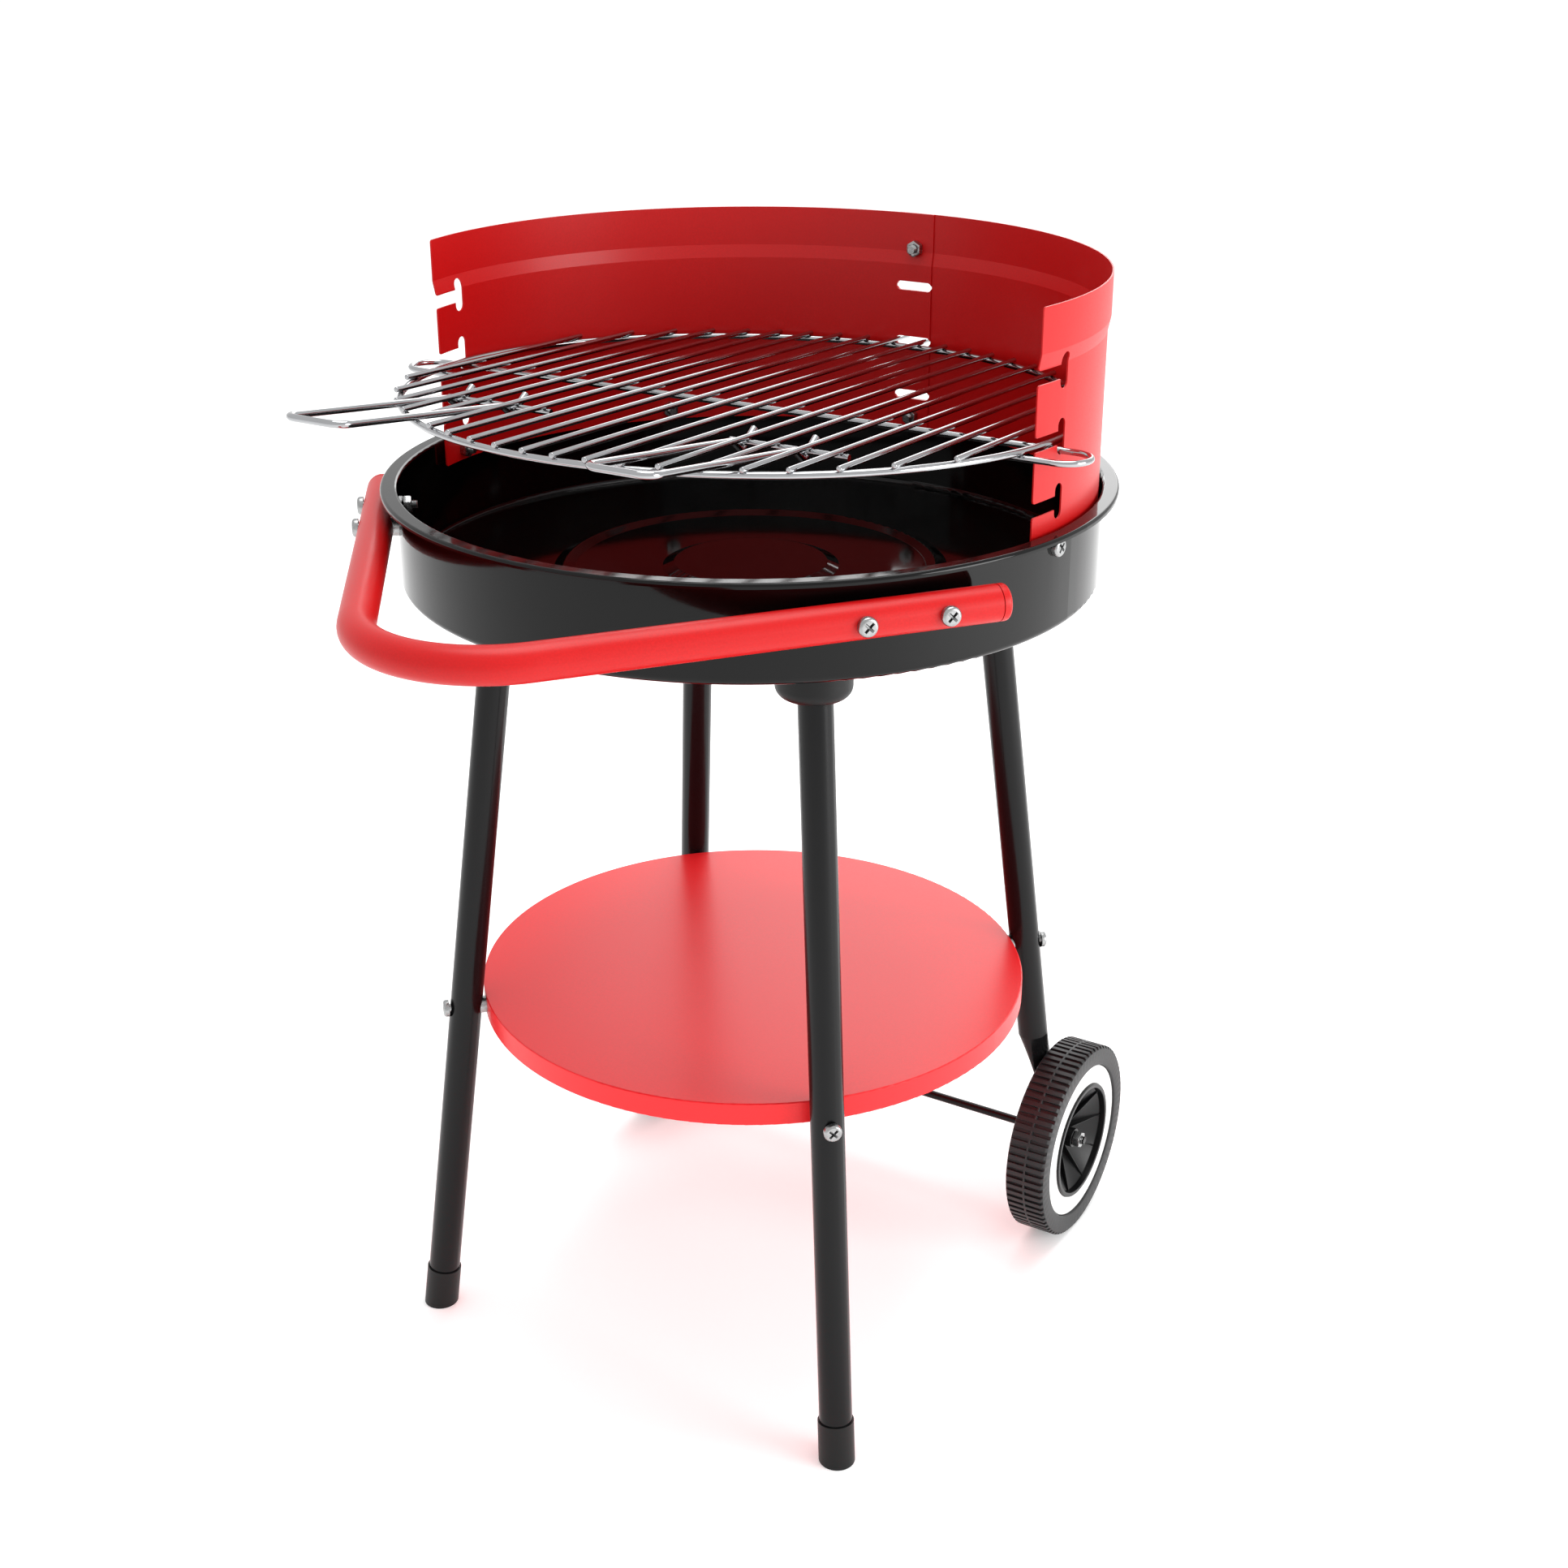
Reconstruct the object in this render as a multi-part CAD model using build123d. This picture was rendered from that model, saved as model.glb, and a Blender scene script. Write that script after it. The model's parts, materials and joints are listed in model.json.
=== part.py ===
from build123d import *
from math import atan2, cos, degrees, radians, sin, sqrt
import os

# Round charcoal grill on a two-wheeled trolley. Millimetres, +Z up, +Y towards the wheels and the
# windshield, X along the wheel axle. The floor is z = 0.

# ---- driving dimensions ----------------------------------------------------------------------
# fire bowl, pressed from enamelled sheet
bowl_radius = 230.0          # outside of the wall
bowl_wall = 1.0
bowl_floor_height = 551.0    # underside of the floor above the ground
bowl_depth = 65.0
bowl_corner = 4.0            # bend between the floor and the wall
rim_width = 10.0
rim_lip = 3.5
rim_bend = 1.5
bead_radius = 124.0          # ring pressed up in the floor
bead_width = 7.0
bead_height = 2.5
dish_radius = 55.0           # round raised centre of the floor
dish_slope = 8.0
dish_height = 3.0
floor_bend = 2.0             # all bends of the ring and the dish but the crest
crest_bend = 3.0

# windshield, two bent sheets that overlap at the back
sheet = 1.0
shield_gap = 3.2             # between the bowl wall and the inner sheet, taken up by spacers
shield_lap_gap = 0.05        # between the two sheets where they overlap
shield_drop = 10.9           # degrees that each end runs on past the half circle
shield_lap = 3.5             # degrees of overlap on each side of the rear centre line
shield_height = 154.0
shield_tuck = 18.0           # how far the sheet reaches down into the bowl
upper_band = 27.0            # height of the wider band at the top
band_slope = 9.0
band_step = 1.8
shield_corner = 2.0
lip_round = 1.5

# grate seats in the windshield, three levels
level_pitch = 39.5
level_count = 3
grate_level = 1              # level that the grate sits in, 0 is the lowest
first_seat = 23.3            # seat bottom above the lower edge of the sheet
seat_height = 22.0
seat_width = 8.6
seat_from_end = 28.0         # along the sheet
mouth_height = 8.6
mouth_above_seat = 6.2       # lower lip above the bottom of the seat
rear_slot_margin = 6.8       # wider than the middle pair of bars is apart
rear_slot_height = 6.3
rear_slot_rise = 0.4         # slot centre above the bottom of the side seats

# tubes
tube_dia = 22.2
tube_wall = 1.2

# push handle, one tube bent round the front
handle_height = 593.2
handle_spread = 37.6         # degrees between an arm and the Y axis
handle_standoff = 1.5        # between the bowl wall and the arm
handle_bend = 77.3
handle_arm = 60.0            # from the nearest point to the bowl axis to the end of the tube
handle_bolt_spread = 25.6
cap_length = 6.0
cap_round = 2.5
cap_plug = 12.0

# legs
leg_floor_radius = 239.4     # leg axis from the bowl axis at floor level
leg_top_inset = 62.5         # leg axis inside the bowl wall at the top
leg_top_gap = 4.0            # from the leg axis end to the bowl floor
socket_radius = 24.0
socket_depth = 31.0
socket_round = 8.0
foot_wall = 1.1
foot_height = 30.0
foot_sole = 5.0
foot_edge = 0.6

# shelf
shelf_top = 251.7
shelf_thickness = 16.0
shelf_gap = 1.8              # between the edge and the legs, taken up by spacers
shelf_edge = 0.8
shelf_screw_bite = 28.0

# wheels
wheel_dia = 150.0
wheel_width = 30.6
wheel_gap = 0.4              # running clearance at each side
wheel_bore_gap = 0.08
tyre_section = 15.0
tyre_round = 1.2
ring_inner = 44.9
ring_recess = 1.0
ring_thick = 4.0
hub_lip = 3.2
hub_wall = 2.5
hub_boss = 7.5
hub_boss_rise = 23.5
hub_boss_foot = 6.0          # where the dish meets the boss, from the inner side
rib_low = 5.0
rib_high = 10.0
rib_recess = 3.0             # outer end of a rib below the face of the wheel
rib_root = 1.0               # how far a rib runs into the boss and the lip
rib_count = 10
rib_thick = 1.4
axle_dia = 6.4
axle_offset = 3.7            # axle behind the leg axis at axle height
axle_tail = 2.5
axle_washer = 1.5
axle_washer_dia = 16.0
tab_thick = 3.4              # flattened end of a rear leg
tab_width = 30.0
crush_rise = 15.0            # the flattening starts this far above the wheel
crush_length = 42.0

# grate
ring_wire = 4.5
bar_wire = 3.5
rod_wire = 4.0
handle_wire = 4.5
weld_sink = 0.3              # how deep crossing wires are fused
grate_tilt = 2.05            # degrees, front edge high
grate_side_gap = 2.6         # between the ring and the windshield at the sides
grate_forward = 5.5
bar_count = 20
bar_edge_margin = 19.0
bar_overhang = 3.0
tip_reach = 10.0             # of the two middle bars past the windshield
loop_reach = 26.0            # of the side loops past the windshield
loop_width = 33.0
loop_bend = 16.4
loop_return = 205.0          # where the wire of a loop ends, from the middle of the grate
seat_clearance = 0.3
hook_setback = 104.0         # of the handle rods behind the front of the ring
hook_offset = 4.4            # of the handle wires to the left of a bar
hook_bars = (3, 13)          # bars beside which the handles start, counted from the left
hook_rod_tail = 12.0         # of a handle rod to the left of its first bar
hook_rod_overhang = 5.0      # past its last bar
hook_rise = 7.0
hook_run = 9.5
stub_rise = 10.5
stub_run = 14.5
grip_rise = 19.7
grip_reach = 53.0            # of the wire handles past the front of the ring
grip_corner = 9.0
hook_bend = 3.5
hook_seat = 0.9              # corner of a hook below the touching point of straight wires

# fasteners
bolt_dia = 6.0
bolt_gap = 0.3
head_dia = 12.0
head_height = 4.0
head_round = 3.2
recess_width = 1.4
recess_span = 6.6
recess_depth = 2.0
nut_flats = 10.0
nut_height = 5.0
bolt_tail = 4.0
spacer_dia = 12.0
axle_nut_flats = 11.1
axle_nut_height = 5.5
shield_bolt_rise = 7.6       # above the lower edge of the windshield
shield_bolt_from_end = 5.9   # degrees
seam_bolt_drop = 24.5        # below the top of the windshield
socket_screw_rise = 12.0     # above the bottom of the socket
socket_screw_bite = 6.0

# ---- sizes that follow -------------------------------------------------------------------------
bolt_hole = bolt_dia / 2 + bolt_gap
tube_radius = tube_dia / 2
bowl_rim_height = bowl_floor_height + bowl_depth
bowl_inside = bowl_radius - bowl_wall

shield_bottom = bowl_rim_height - shield_tuck
shield_top = shield_bottom + shield_height
inner_sheet = bowl_inside - shield_gap - sheet      # inner face of the left half
outer_sheet = inner_sheet + sheet + shield_lap_gap  # inner face of the right half
seat_angle = shield_drop - degrees(seat_from_end / inner_sheet)
seats = [shield_bottom + first_seat + level_pitch * n for n in range(level_count)]
seat_bottom = seats[grate_level]
shield_bolt_height = shield_bottom + shield_bolt_rise
end_bolt_angle = -shield_drop + shield_bolt_from_end
side_bolt_angle = (end_bolt_angle + 90) / 2

handle_axis = bowl_radius + handle_standoff + tube_radius
arm_out = Vector(cos(radians(handle_spread)), -sin(radians(handle_spread)), 0)
arm_back = Vector(sin(radians(handle_spread)), cos(radians(handle_spread)), 0)

leg_top_radius = bowl_radius - leg_top_inset
leg_top_height = bowl_floor_height - leg_top_gap
leg_lean = (leg_floor_radius - leg_top_radius) / leg_top_height

wheel_radius = wheel_dia / 2
axle_height = wheel_radius
crush_top = wheel_dia + crush_rise
leg_at_axle = (leg_floor_radius - leg_lean * axle_height) / sqrt(2)
leg_at_crush = (leg_floor_radius - leg_lean * crush_top) / sqrt(2)
flat_share = crush_rise / crush_length              # of the flattening, done at the top of the wheel
axle_y = leg_at_axle + axle_offset
tab_x = leg_at_crush + tube_radius - tab_thick / 2 - axle_washer / (1 - flat_share)
wheel_inside = tab_x + tab_thick / 2 + axle_washer + wheel_gap
nut_seat = wheel_inside + hub_boss_rise + wheel_gap

shelf_middle = shelf_top - shelf_thickness / 2
leg_slant = sqrt(1 + leg_lean ** 2)
shelf_radius = leg_floor_radius - leg_lean * shelf_top - tube_radius * leg_slant - shelf_gap
shelf_screw_stand = tube_radius * leg_slant + leg_lean * head_dia / 2  # head's seat from the leg axis
shelf_screw_length = shelf_screw_stand + tube_radius * leg_slant + shelf_gap + shelf_screw_bite

grate_ring_radius = inner_sheet - grate_side_gap - ring_wire / 2
bar_pitch = 2 * (grate_ring_radius - bar_edge_margin) / (bar_count - 1)
rod_y = -inner_sheet * sin(radians(seat_angle))
rod_z = seat_bottom + seat_clearance + rod_wire / 2
ring_level = (rod_wire + ring_wire) / 2 - weld_sink
bar_level = ring_level + (ring_wire + bar_wire) / 2 - weld_sink
hook_rod_level = bar_level - (bar_wire + rod_wire) / 2 + weld_sink
ring_y = -grate_forward - rod_y
ring_front = ring_y - grate_ring_radius
hook_y = ring_front + hook_setback
bar_x = [(n - (bar_count - 1) / 2) * bar_pitch for n in range(bar_count)]
rear_slot_length = bar_pitch + rear_slot_margin

front_reach = handle_axis / sin(radians(handle_spread)) - handle_bend * (
    1 / sin(radians(handle_spread)) - 1) + tube_radius
rear_reach = max(axle_y + wheel_radius, bowl_radius + rim_width)
to_frame = Pos(0, (front_reach - rear_reach) / 2, 0)

BASE = (Align.CENTER, Align.CENTER, Align.MIN)
TOP = (Align.CENTER, Align.CENTER, Align.MAX)


# ---- helpers -----------------------------------------------------------------------------------
def rod(start, end, radius):
    """Round bar between two points."""
    run = Vector(end) - Vector(start)
    return Plane(origin=start, z_dir=run) * Cylinder(radius, run.length, align=BASE)


def wire(points, radii, radius):
    """Round wire along straight runs joined by bends."""
    path = FilletPolyline(*points, radius=radii)
    return sweep(Plane(origin=path @ 0, z_dir=path % 0) * Circle(radius), path=path)


def turned(points, angle=360):
    """Solid of revolution about Z from (radius, height) corners."""
    return revolve(Plane.XZ * make_face(Polyline(*points, close=True)), Axis.Z, angle)


def radial(angle, distance, height):
    """Plane on a cylinder about Z, facing outwards."""
    out = Vector(cos(radians(angle)), sin(radians(angle)), 0)
    return Plane(origin=out * distance + Vector(0, 0, height), x_dir=(0, 0, 1), z_dir=out)


def pan_bolt(length):
    """Cross-recessed pan-head bolt, seated on z = 0, shank down."""
    head = Cylinder(head_dia / 2, head_height, align=BASE)
    head = fillet(head.edges().sort_by(Axis.Z)[-1], head_round)
    for turn in (45, 135):
        slot = Box(recess_span, recess_width, recess_depth, align=TOP)
        head -= Pos(0, 0, head_height) * Rot(0, 0, turn) * slot
    return head + Cylinder(bolt_dia / 2, length, align=TOP)


def hex_nut(flats, height, bore):
    """Hexagon nut standing down from z = 0."""
    body = extrude(RegularPolygon(flats / sqrt(3), 6), -height)
    crown = Cylinder(flats / sqrt(3), height, align=TOP)
    corner = flats / sqrt(3) - flats / 2
    crown = chamfer(crown.edges().filter_by(GeomType.CIRCLE), corner / 2, corner)
    return (body & crown) - Cylinder(bore, 3 * height)


def group(pieces):
    """Separate solids that share one node."""
    return Compound(children=[solid for piece in pieces for solid in piece.solids()])


parts = {}


# ---- bowl --------------------------------------------------------------------------------------
def bowl():
    floor = bowl_floor_height + bowl_wall / 2
    wall = bowl_radius - bowl_wall / 2
    top = bowl_rim_height - bowl_wall / 2
    path = FilletPolyline(
        (0, floor + dish_height),
        (dish_radius - dish_slope / 2, floor + dish_height),
        (dish_radius + dish_slope / 2, floor),
        (bead_radius - bead_width, floor),
        (bead_radius, floor + bead_height),
        (bead_radius + bead_width, floor),
        (wall, floor),
        (wall, top),
        (bowl_radius + rim_width - bowl_wall / 2, top),
        (bowl_radius + rim_width - bowl_wall / 2, bowl_rim_height - rim_lip),
        radius=[floor_bend, floor_bend, floor_bend, crest_bend, floor_bend, bowl_corner, rim_bend, rim_bend])
    inside = offset(path, amount=bowl_wall / 2, side=Side.LEFT, closed=False)
    outside = offset(path, amount=bowl_wall / 2, side=Side.RIGHT, closed=False)
    ends = [Line(inside @ n, outside @ n) for n in (0, 1)]
    if (inside @ 0 - outside @ 0).length > 2 * bowl_wall:
        ends = [Line(inside @ 0, outside @ 1), Line(inside @ 1, outside @ 0)]
    profile = make_face(inside.edges() + outside.edges() + [end.edge() for end in ends])
    shell = revolve(Plane.XZ * profile, Axis.Z)
    for plane, _ in shield_bolts():
        shell -= plane * Cylinder(bolt_hole, 4 * spacer_dia)
    for plane in handle_bolts():
        shell -= plane * Cylinder(bolt_hole, 8 * tube_dia)
    return shell


# ---- windshield --------------------------------------------------------------------------------
def half_shield(face, start, sweep_angle):
    """Bent sheet whose inner face is at the given radius."""
    band = shield_top - upper_band
    profile = [(face, shield_bottom), (face, band - band_slope), (face + band_step, band),
               (face + band_step, shield_top)]
    outline = profile + [(r + sheet, z) for r, z in reversed(profile)]
    half = Rot(0, 0, start) * turned(outline, sweep_angle)
    for height in seats:
        for angle, end in ((-seat_angle, 1), (180 + seat_angle, -1)):
            half -= radial(angle, face, height) * extrude(seat_outline(end), 2 * spacer_dia, both=True)
        slot = Rot(0, 0, 90) * SlotOverall(rear_slot_length, rear_slot_height)
        half -= radial(90, face, height + rear_slot_rise) * extrude(slot, spacer_dia, both=True)
    for plane, _ in shield_bolts():
        half -= plane * Cylinder(bolt_hole, 4 * spacer_dia)
    half -= seam_bolt_plane() * Cylinder(bolt_hole, 4 * spacer_dia)
    corners = [edge for edge in half.edges().filter_by(GeomType.LINE) if is_end_corner(edge)]
    return fillet(corners, shield_corner)


def seat_outline(end):
    """T-shaped cut: x is up from the seat bottom, y runs along the sheet to the end on the given side."""
    line = inner_sheet * sin(radians(shield_drop - seat_angle))
    mouth = Pos(mouth_above_seat + mouth_height / 2, end * line) * Rectangle(mouth_height, 2 * line)
    outline = Pos(seat_height / 2, 0) * SlotOverall(seat_height, seat_width) + mouth
    for side in (1, -1):
        lip = mouth_above_seat + mouth_height / 2 + side * mouth_height / 2
        ear = Pos(lip + side * lip_round / 2, end * line) * Rectangle(lip_round, 2 * lip_round)
        outline += ear - Pos(lip + side * lip_round, end * (line - lip_round)) * Circle(lip_round)
    return outline


def is_end_corner(edge):
    """True for the short edges through the sheet at the top and bottom of its front end."""
    middle = edge.center()
    angle = degrees(atan2(-middle.Y, abs(middle.X)))
    level = min(abs(middle.Z - shield_top), abs(middle.Z - shield_bottom))
    return edge.length < 1.5 * sheet and level < sheet / 10 and abs(angle - shield_drop) < sheet / 10


def shield_bolts():
    """Seat planes on the bowl wall, each with the sheet that the bolt clamps."""
    angles = [end_bolt_angle, side_bolt_angle, 90, 180 - side_bolt_angle, 180 - end_bolt_angle]
    return [(radial(angle, bowl_radius, shield_bolt_height),
             outer_sheet if angle < 90 else inner_sheet) for angle in angles]


def seam_bolt_plane():
    return radial(90, outer_sheet + band_step + sheet, shield_top - seam_bolt_drop)


def shield_fasteners(left_half):
    bolts, nuts, spacers = [], [], []
    for plane, face in shield_bolts():
        inner = inner_sheet if abs(plane.origin.X) < 1 else face
        outer = outer_sheet if abs(plane.origin.X) < 1 else face
        bolts.append(plane * pan_bolt(bowl_radius - inner + nut_height + bolt_tail))
        nut = plane * Pos(0, 0, inner - bowl_radius) * hex_nut(nut_flats, nut_height, bolt_dia / 2)
        nuts.append(nut & Rot(0, 0, 45) * Cylinder(inner, 2 * shield_top))
        sleeve = Cylinder(spacer_dia / 2, 2 * spacer_dia) - Cylinder(bolt_dia / 2, 2 * spacer_dia)
        gap = Cylinder(bowl_inside, 2 * bowl_rim_height) - Cylinder(outer + sheet, 2 * bowl_rim_height)
        spacers.append(plane * sleeve & gap)
    parts["windshield_bolts"] = group(bolts)
    parts["windshield_nuts"] = group(nuts)
    parts["windshield_spacers"] = group(spacers)
    seam = seam_bolt_plane()
    grip = outer_sheet + sheet - inner_sheet
    parts["seam_bolt"] = seam * pan_bolt(grip + nut_height + bolt_tail)
    nut = seam * Pos(0, 0, -grip) * hex_nut(nut_flats, nut_height, bolt_dia / 2)
    parts["seam_nut"] = nut - left_half


# ---- push handle -------------------------------------------------------------------------------
def arm_point(along, out=0.0, side=1):
    """Point beside the right arm (side 1) or the left arm (side -1)."""
    point = arm_out * (handle_axis + out) + arm_back * along + Vector(0, 0, handle_height)
    return Vector(side * point.X, point.Y, point.Z)


def handle_bolts():
    """Seat planes of the four handle bolts on the outside of the arms."""
    planes = []
    for side in (1, -1):
        out = Vector(side * arm_out.X, arm_out.Y, 0)
        for along in (-handle_bolt_spread, handle_bolt_spread):
            origin = arm_point(along, tube_radius, side)
            planes.append(Plane(origin=origin, x_dir=(0, 0, 1), z_dir=out))
    return planes


def push_handle():
    tip = Vector(0, -handle_axis / sin(radians(handle_spread)), handle_height)
    path = FilletPolyline(arm_point(handle_arm), tip, arm_point(handle_arm, side=-1), radius=handle_bend)
    section = Circle(tube_radius) - Circle(tube_radius - tube_wall)
    tube = sweep(Plane(origin=path @ 0, z_dir=path % 0) * section, path=path)
    bolts, nuts, spacers = [], [], []
    wall_outside = Cylinder(bowl_radius, 2 * bowl_rim_height)
    wall_inside = Cylinder(bowl_inside, 2 * bowl_rim_height)
    inner_face = sqrt(bowl_inside ** 2 - handle_bolt_spread ** 2)
    reach = handle_axis + tube_radius - inner_face
    for number, plane in enumerate(handle_bolts()):
        bolts.append(plane * pan_bolt(reach + nut_height + bolt_tail))
        nut = plane * Pos(0, 0, bowl_wall - reach) * hex_nut(nut_flats, nut_height + bowl_wall, bolt_dia / 2)
        nuts.append(nut & wall_inside)
        sleeve = Cylinder(spacer_dia / 2, reach, align=TOP) - Cylinder(bolt_dia / 2, reach, align=TOP)
        arm = 1 if number < 2 else -1
        solid_arm = rod(arm_point(-handle_arm, side=arm), arm_point(handle_arm, side=arm), tube_radius)
        sleeve = plane * Pos(0, 0, -tube_radius) * sleeve - wall_outside - solid_arm
        spacers.append(sleeve)
        tube -= plane * Cylinder(bolt_hole, 3 * tube_dia)
    parts["handle_tube"] = tube
    parts["handle_bolts"] = group(bolts)
    parts["handle_nuts"] = group(nuts)
    parts["handle_spacers"] = group(spacers)
    for name, side in (("right", 1), ("left", -1)):
        end = arm_point(handle_arm, side=side)
        out = Vector(side * arm_back.X, arm_back.Y, 0)
        disc = Cylinder(tube_radius, cap_length, align=BASE)
        disc = fillet(disc.edges().sort_by(Axis.Z)[-1], cap_round)
        plug = Cylinder(tube_radius - tube_wall, cap_plug, align=TOP)
        parts[f"handle_cap_{name}"] = Plane(origin=end, z_dir=out) * (disc + plug)


# ---- legs --------------------------------------------------------------------------------------
def leg_point(x_side, y_side, height, out=0.0):
    """Point on a leg axis, or moved straight out from it."""
    reach = (leg_floor_radius - leg_lean * height + out) / sqrt(2)
    return Vector(x_side * reach, y_side * reach, height)


def shelf_bolt_plane(x_side, y_side):
    out = Vector(x_side, y_side, 0)
    seat = leg_point(x_side, y_side, shelf_middle, shelf_screw_stand)
    return Plane(origin=seat, x_dir=(0, 0, 1), z_dir=out)


def socket_screw_plane(x_side, y_side):
    height = bowl_floor_height - socket_depth + socket_screw_rise
    middle = leg_point(x_side, y_side, leg_top_height)
    inward = Vector(-x_side, -y_side, 0).normalized()
    seat = Vector(middle.X, middle.Y, height) + inward * socket_radius
    return Plane(origin=seat, x_dir=(0, 0, 1), z_dir=inward)


def leg_tube(x_side, y_side, bottom):
    low = leg_point(x_side, y_side, bottom)
    high = leg_point(x_side, y_side, leg_top_height)
    return rod(low, high, tube_radius) - rod(low - (high - low), high * 2 - low, tube_radius - tube_wall)


def front_leg(x_side):
    tube = leg_tube(x_side, -1, foot_sole)
    sole = leg_point(x_side, -1, foot_sole)
    below = leg_point(x_side, -1, -foot_sole)
    shoe = rod(below, leg_point(x_side, -1, foot_height), tube_radius + foot_wall)
    shoe -= rod(sole, leg_point(x_side, -1, 2 * foot_height), tube_radius)
    shoe -= Pos(below.X, below.Y, 0) * Box(4 * tube_dia, 4 * tube_dia, 4 * foot_sole, align=TOP)
    shoe = fillet(shoe.edges().group_by(Axis.Z)[0], foot_edge)
    return tube, shoe


def rear_leg(x_side):
    top = leg_point(x_side, 1, crush_top)
    axis = leg_point(x_side, 1, leg_top_height) - top
    tube = leg_tube(x_side, 1, crush_top)
    round_end = Plane(origin=top, x_dir=(0, 1, 0), z_dir=axis) * Circle(tube_radius)
    flat_top = crush_top - crush_length
    flat = Plane(origin=(x_side * tab_x, axle_y, flat_top), x_dir=(0, 1, 0), z_dir=(0, 0, 1))
    flat_end = flat * Ellipse(tab_width / 2, tab_thick / 2)
    crush = loft([round_end, flat_end])
    tab = flat * extrude(Ellipse(tab_width / 2, tab_thick / 2), -(flat_top - axle_height + tab_width / 2))
    axle_plane = Plane(origin=(x_side * tab_x, axle_y, axle_height), z_dir=(1, 0, 0))
    rounded = axle_plane * Cylinder(tab_width / 2, 3 * tab_thick)
    rounded += Pos(x_side * tab_x, axle_y, axle_height) * Box(3 * tab_thick, tab_width, flat_top, align=BASE)
    tab = tab & rounded
    hole = axle_plane * Cylinder(axle_dia / 2, 8 * tab_thick)
    return tube + crush + (tab - hole)


def legs():
    screws, spacers, pins = [], [], []
    for y_name, y_side in (("front", -1), ("rear", 1)):
        for x_name, x_side in (("left", -1), ("right", 1)):
            name = f"{y_name}_{x_name}"
            if y_side < 0:
                tube, parts[f"foot_{x_name}"] = front_leg(x_side)
            else:
                tube = rear_leg(x_side)
            seat = shelf_bolt_plane(x_side, y_side)
            pin = socket_screw_plane(x_side, y_side)
            pin_length = socket_radius - tube_radius + socket_screw_bite
            parts[f"leg_{name}"] = (tube - seat * Cylinder(bolt_hole, 3 * tube_dia)
                                    - pin * Cylinder(bolt_dia / 2, 2 * pin_length))
            parts[f"leg_socket_{name}"] = leg_socket(x_side, y_side)
            screws.append(seat * pan_bolt(shelf_screw_length))
            sleeve = Cylinder(spacer_dia / 2, tube_dia + spacer_dia, align=TOP)
            sleeve -= Cylinder(bolt_dia / 2, 3 * tube_dia)
            foot, head = leg_point(x_side, y_side, 0), leg_point(x_side, y_side, leg_top_height)
            sleeve = seat * Pos(0, 0, -tube_radius) * sleeve - rod(foot, head, tube_radius)
            spacers.append(sleeve - Cylinder(shelf_radius, 3 * shelf_top))
            pins.append(pin * pan_bolt(pin_length))
    parts["shelf_screws"] = group(screws)
    parts["shelf_spacers"] = group(spacers)
    parts["socket_screws"] = group(pins)


def leg_socket(x_side, y_side):
    """Pressed cup under the bowl that takes the top of a leg."""
    middle = leg_point(x_side, y_side, leg_top_height)
    cup = Cylinder(socket_radius, socket_depth, align=TOP)
    cup = fillet(cup.edges().group_by(Axis.Z)[0], socket_round)
    cup = Pos(middle.X, middle.Y, bowl_floor_height) * cup
    cup -= rod(leg_point(x_side, y_side, bowl_floor_height - 2 * socket_depth), middle, tube_radius)
    bore = Cylinder(bolt_dia / 2, 2 * (socket_radius - tube_radius / 2))
    return cup - socket_screw_plane(x_side, y_side) * bore


# ---- shelf -------------------------------------------------------------------------------------
def shelf():
    board = Pos(0, 0, shelf_top) * Cylinder(shelf_radius, shelf_thickness, align=TOP)
    board = fillet(board.edges().filter_by(GeomType.CIRCLE), shelf_edge)
    for x_side in (-1, 1):
        for y_side in (-1, 1):
            hole = Cylinder(bolt_dia / 2, shelf_screw_length, align=TOP)
            board -= shelf_bolt_plane(x_side, y_side) * hole
    return board


# ---- wheels ------------------------------------------------------------------------------------
def wheel(name, x_side):
    """Wheel turned about its own Z, then laid on the axle with Z pointing outwards."""
    place = Plane(origin=(x_side * wheel_inside, axle_y, axle_height), x_dir=(0, 0, 1), z_dir=(x_side, 0, 0))
    rim = wheel_radius - tyre_section
    tyre = Cylinder(wheel_radius, wheel_width, align=BASE) - Cylinder(rim, wheel_width, align=BASE)
    outer_edges = tyre.edges().filter_by(GeomType.CIRCLE).filter_by(lambda edge: edge.radius > rim)
    parts[f"tyre_{name}"] = place * fillet(outer_edges, tyre_round)
    ring_top = wheel_width - ring_recess
    ring_bottom = ring_top - ring_thick
    ring = [(ring_inner, ring_bottom), (rim, ring_bottom), (rim, ring_top), (ring_inner, ring_top)]
    parts[f"trim_ring_{name}"] = place * turned(ring)
    bore = axle_dia / 2 + wheel_bore_gap
    lip = ring_inner - hub_lip
    back = ring_bottom - hub_wall
    profile = [(bore, 0), (hub_boss + hub_wall, 0), (hub_boss + hub_wall, hub_wall), (lip, back),
               (rim - hub_wall, back), (rim - hub_wall, hub_wall), (rim, hub_wall), (rim, ring_bottom),
               (ring_inner, ring_bottom), (ring_inner, wheel_width), (lip, wheel_width),
               (lip, ring_bottom), (hub_boss, hub_boss_foot), (hub_boss, hub_boss_rise),
               (bore, hub_boss_rise)]
    hub = turned(profile)
    rib = [(hub_boss - rib_root, rib_low), (lip + rib_root, ring_bottom),
           (lip + rib_root, wheel_width - rib_recess), (hub_boss - rib_root, rib_high)]
    web = extrude(Plane.XZ * make_face(Polyline(*rib, close=True)), rib_thick / 2, both=True)
    for number in range(rib_count):
        hub += Rot(0, 0, number * 360 / rib_count) * web
    parts[f"hub_{name}"] = place * hub


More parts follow.
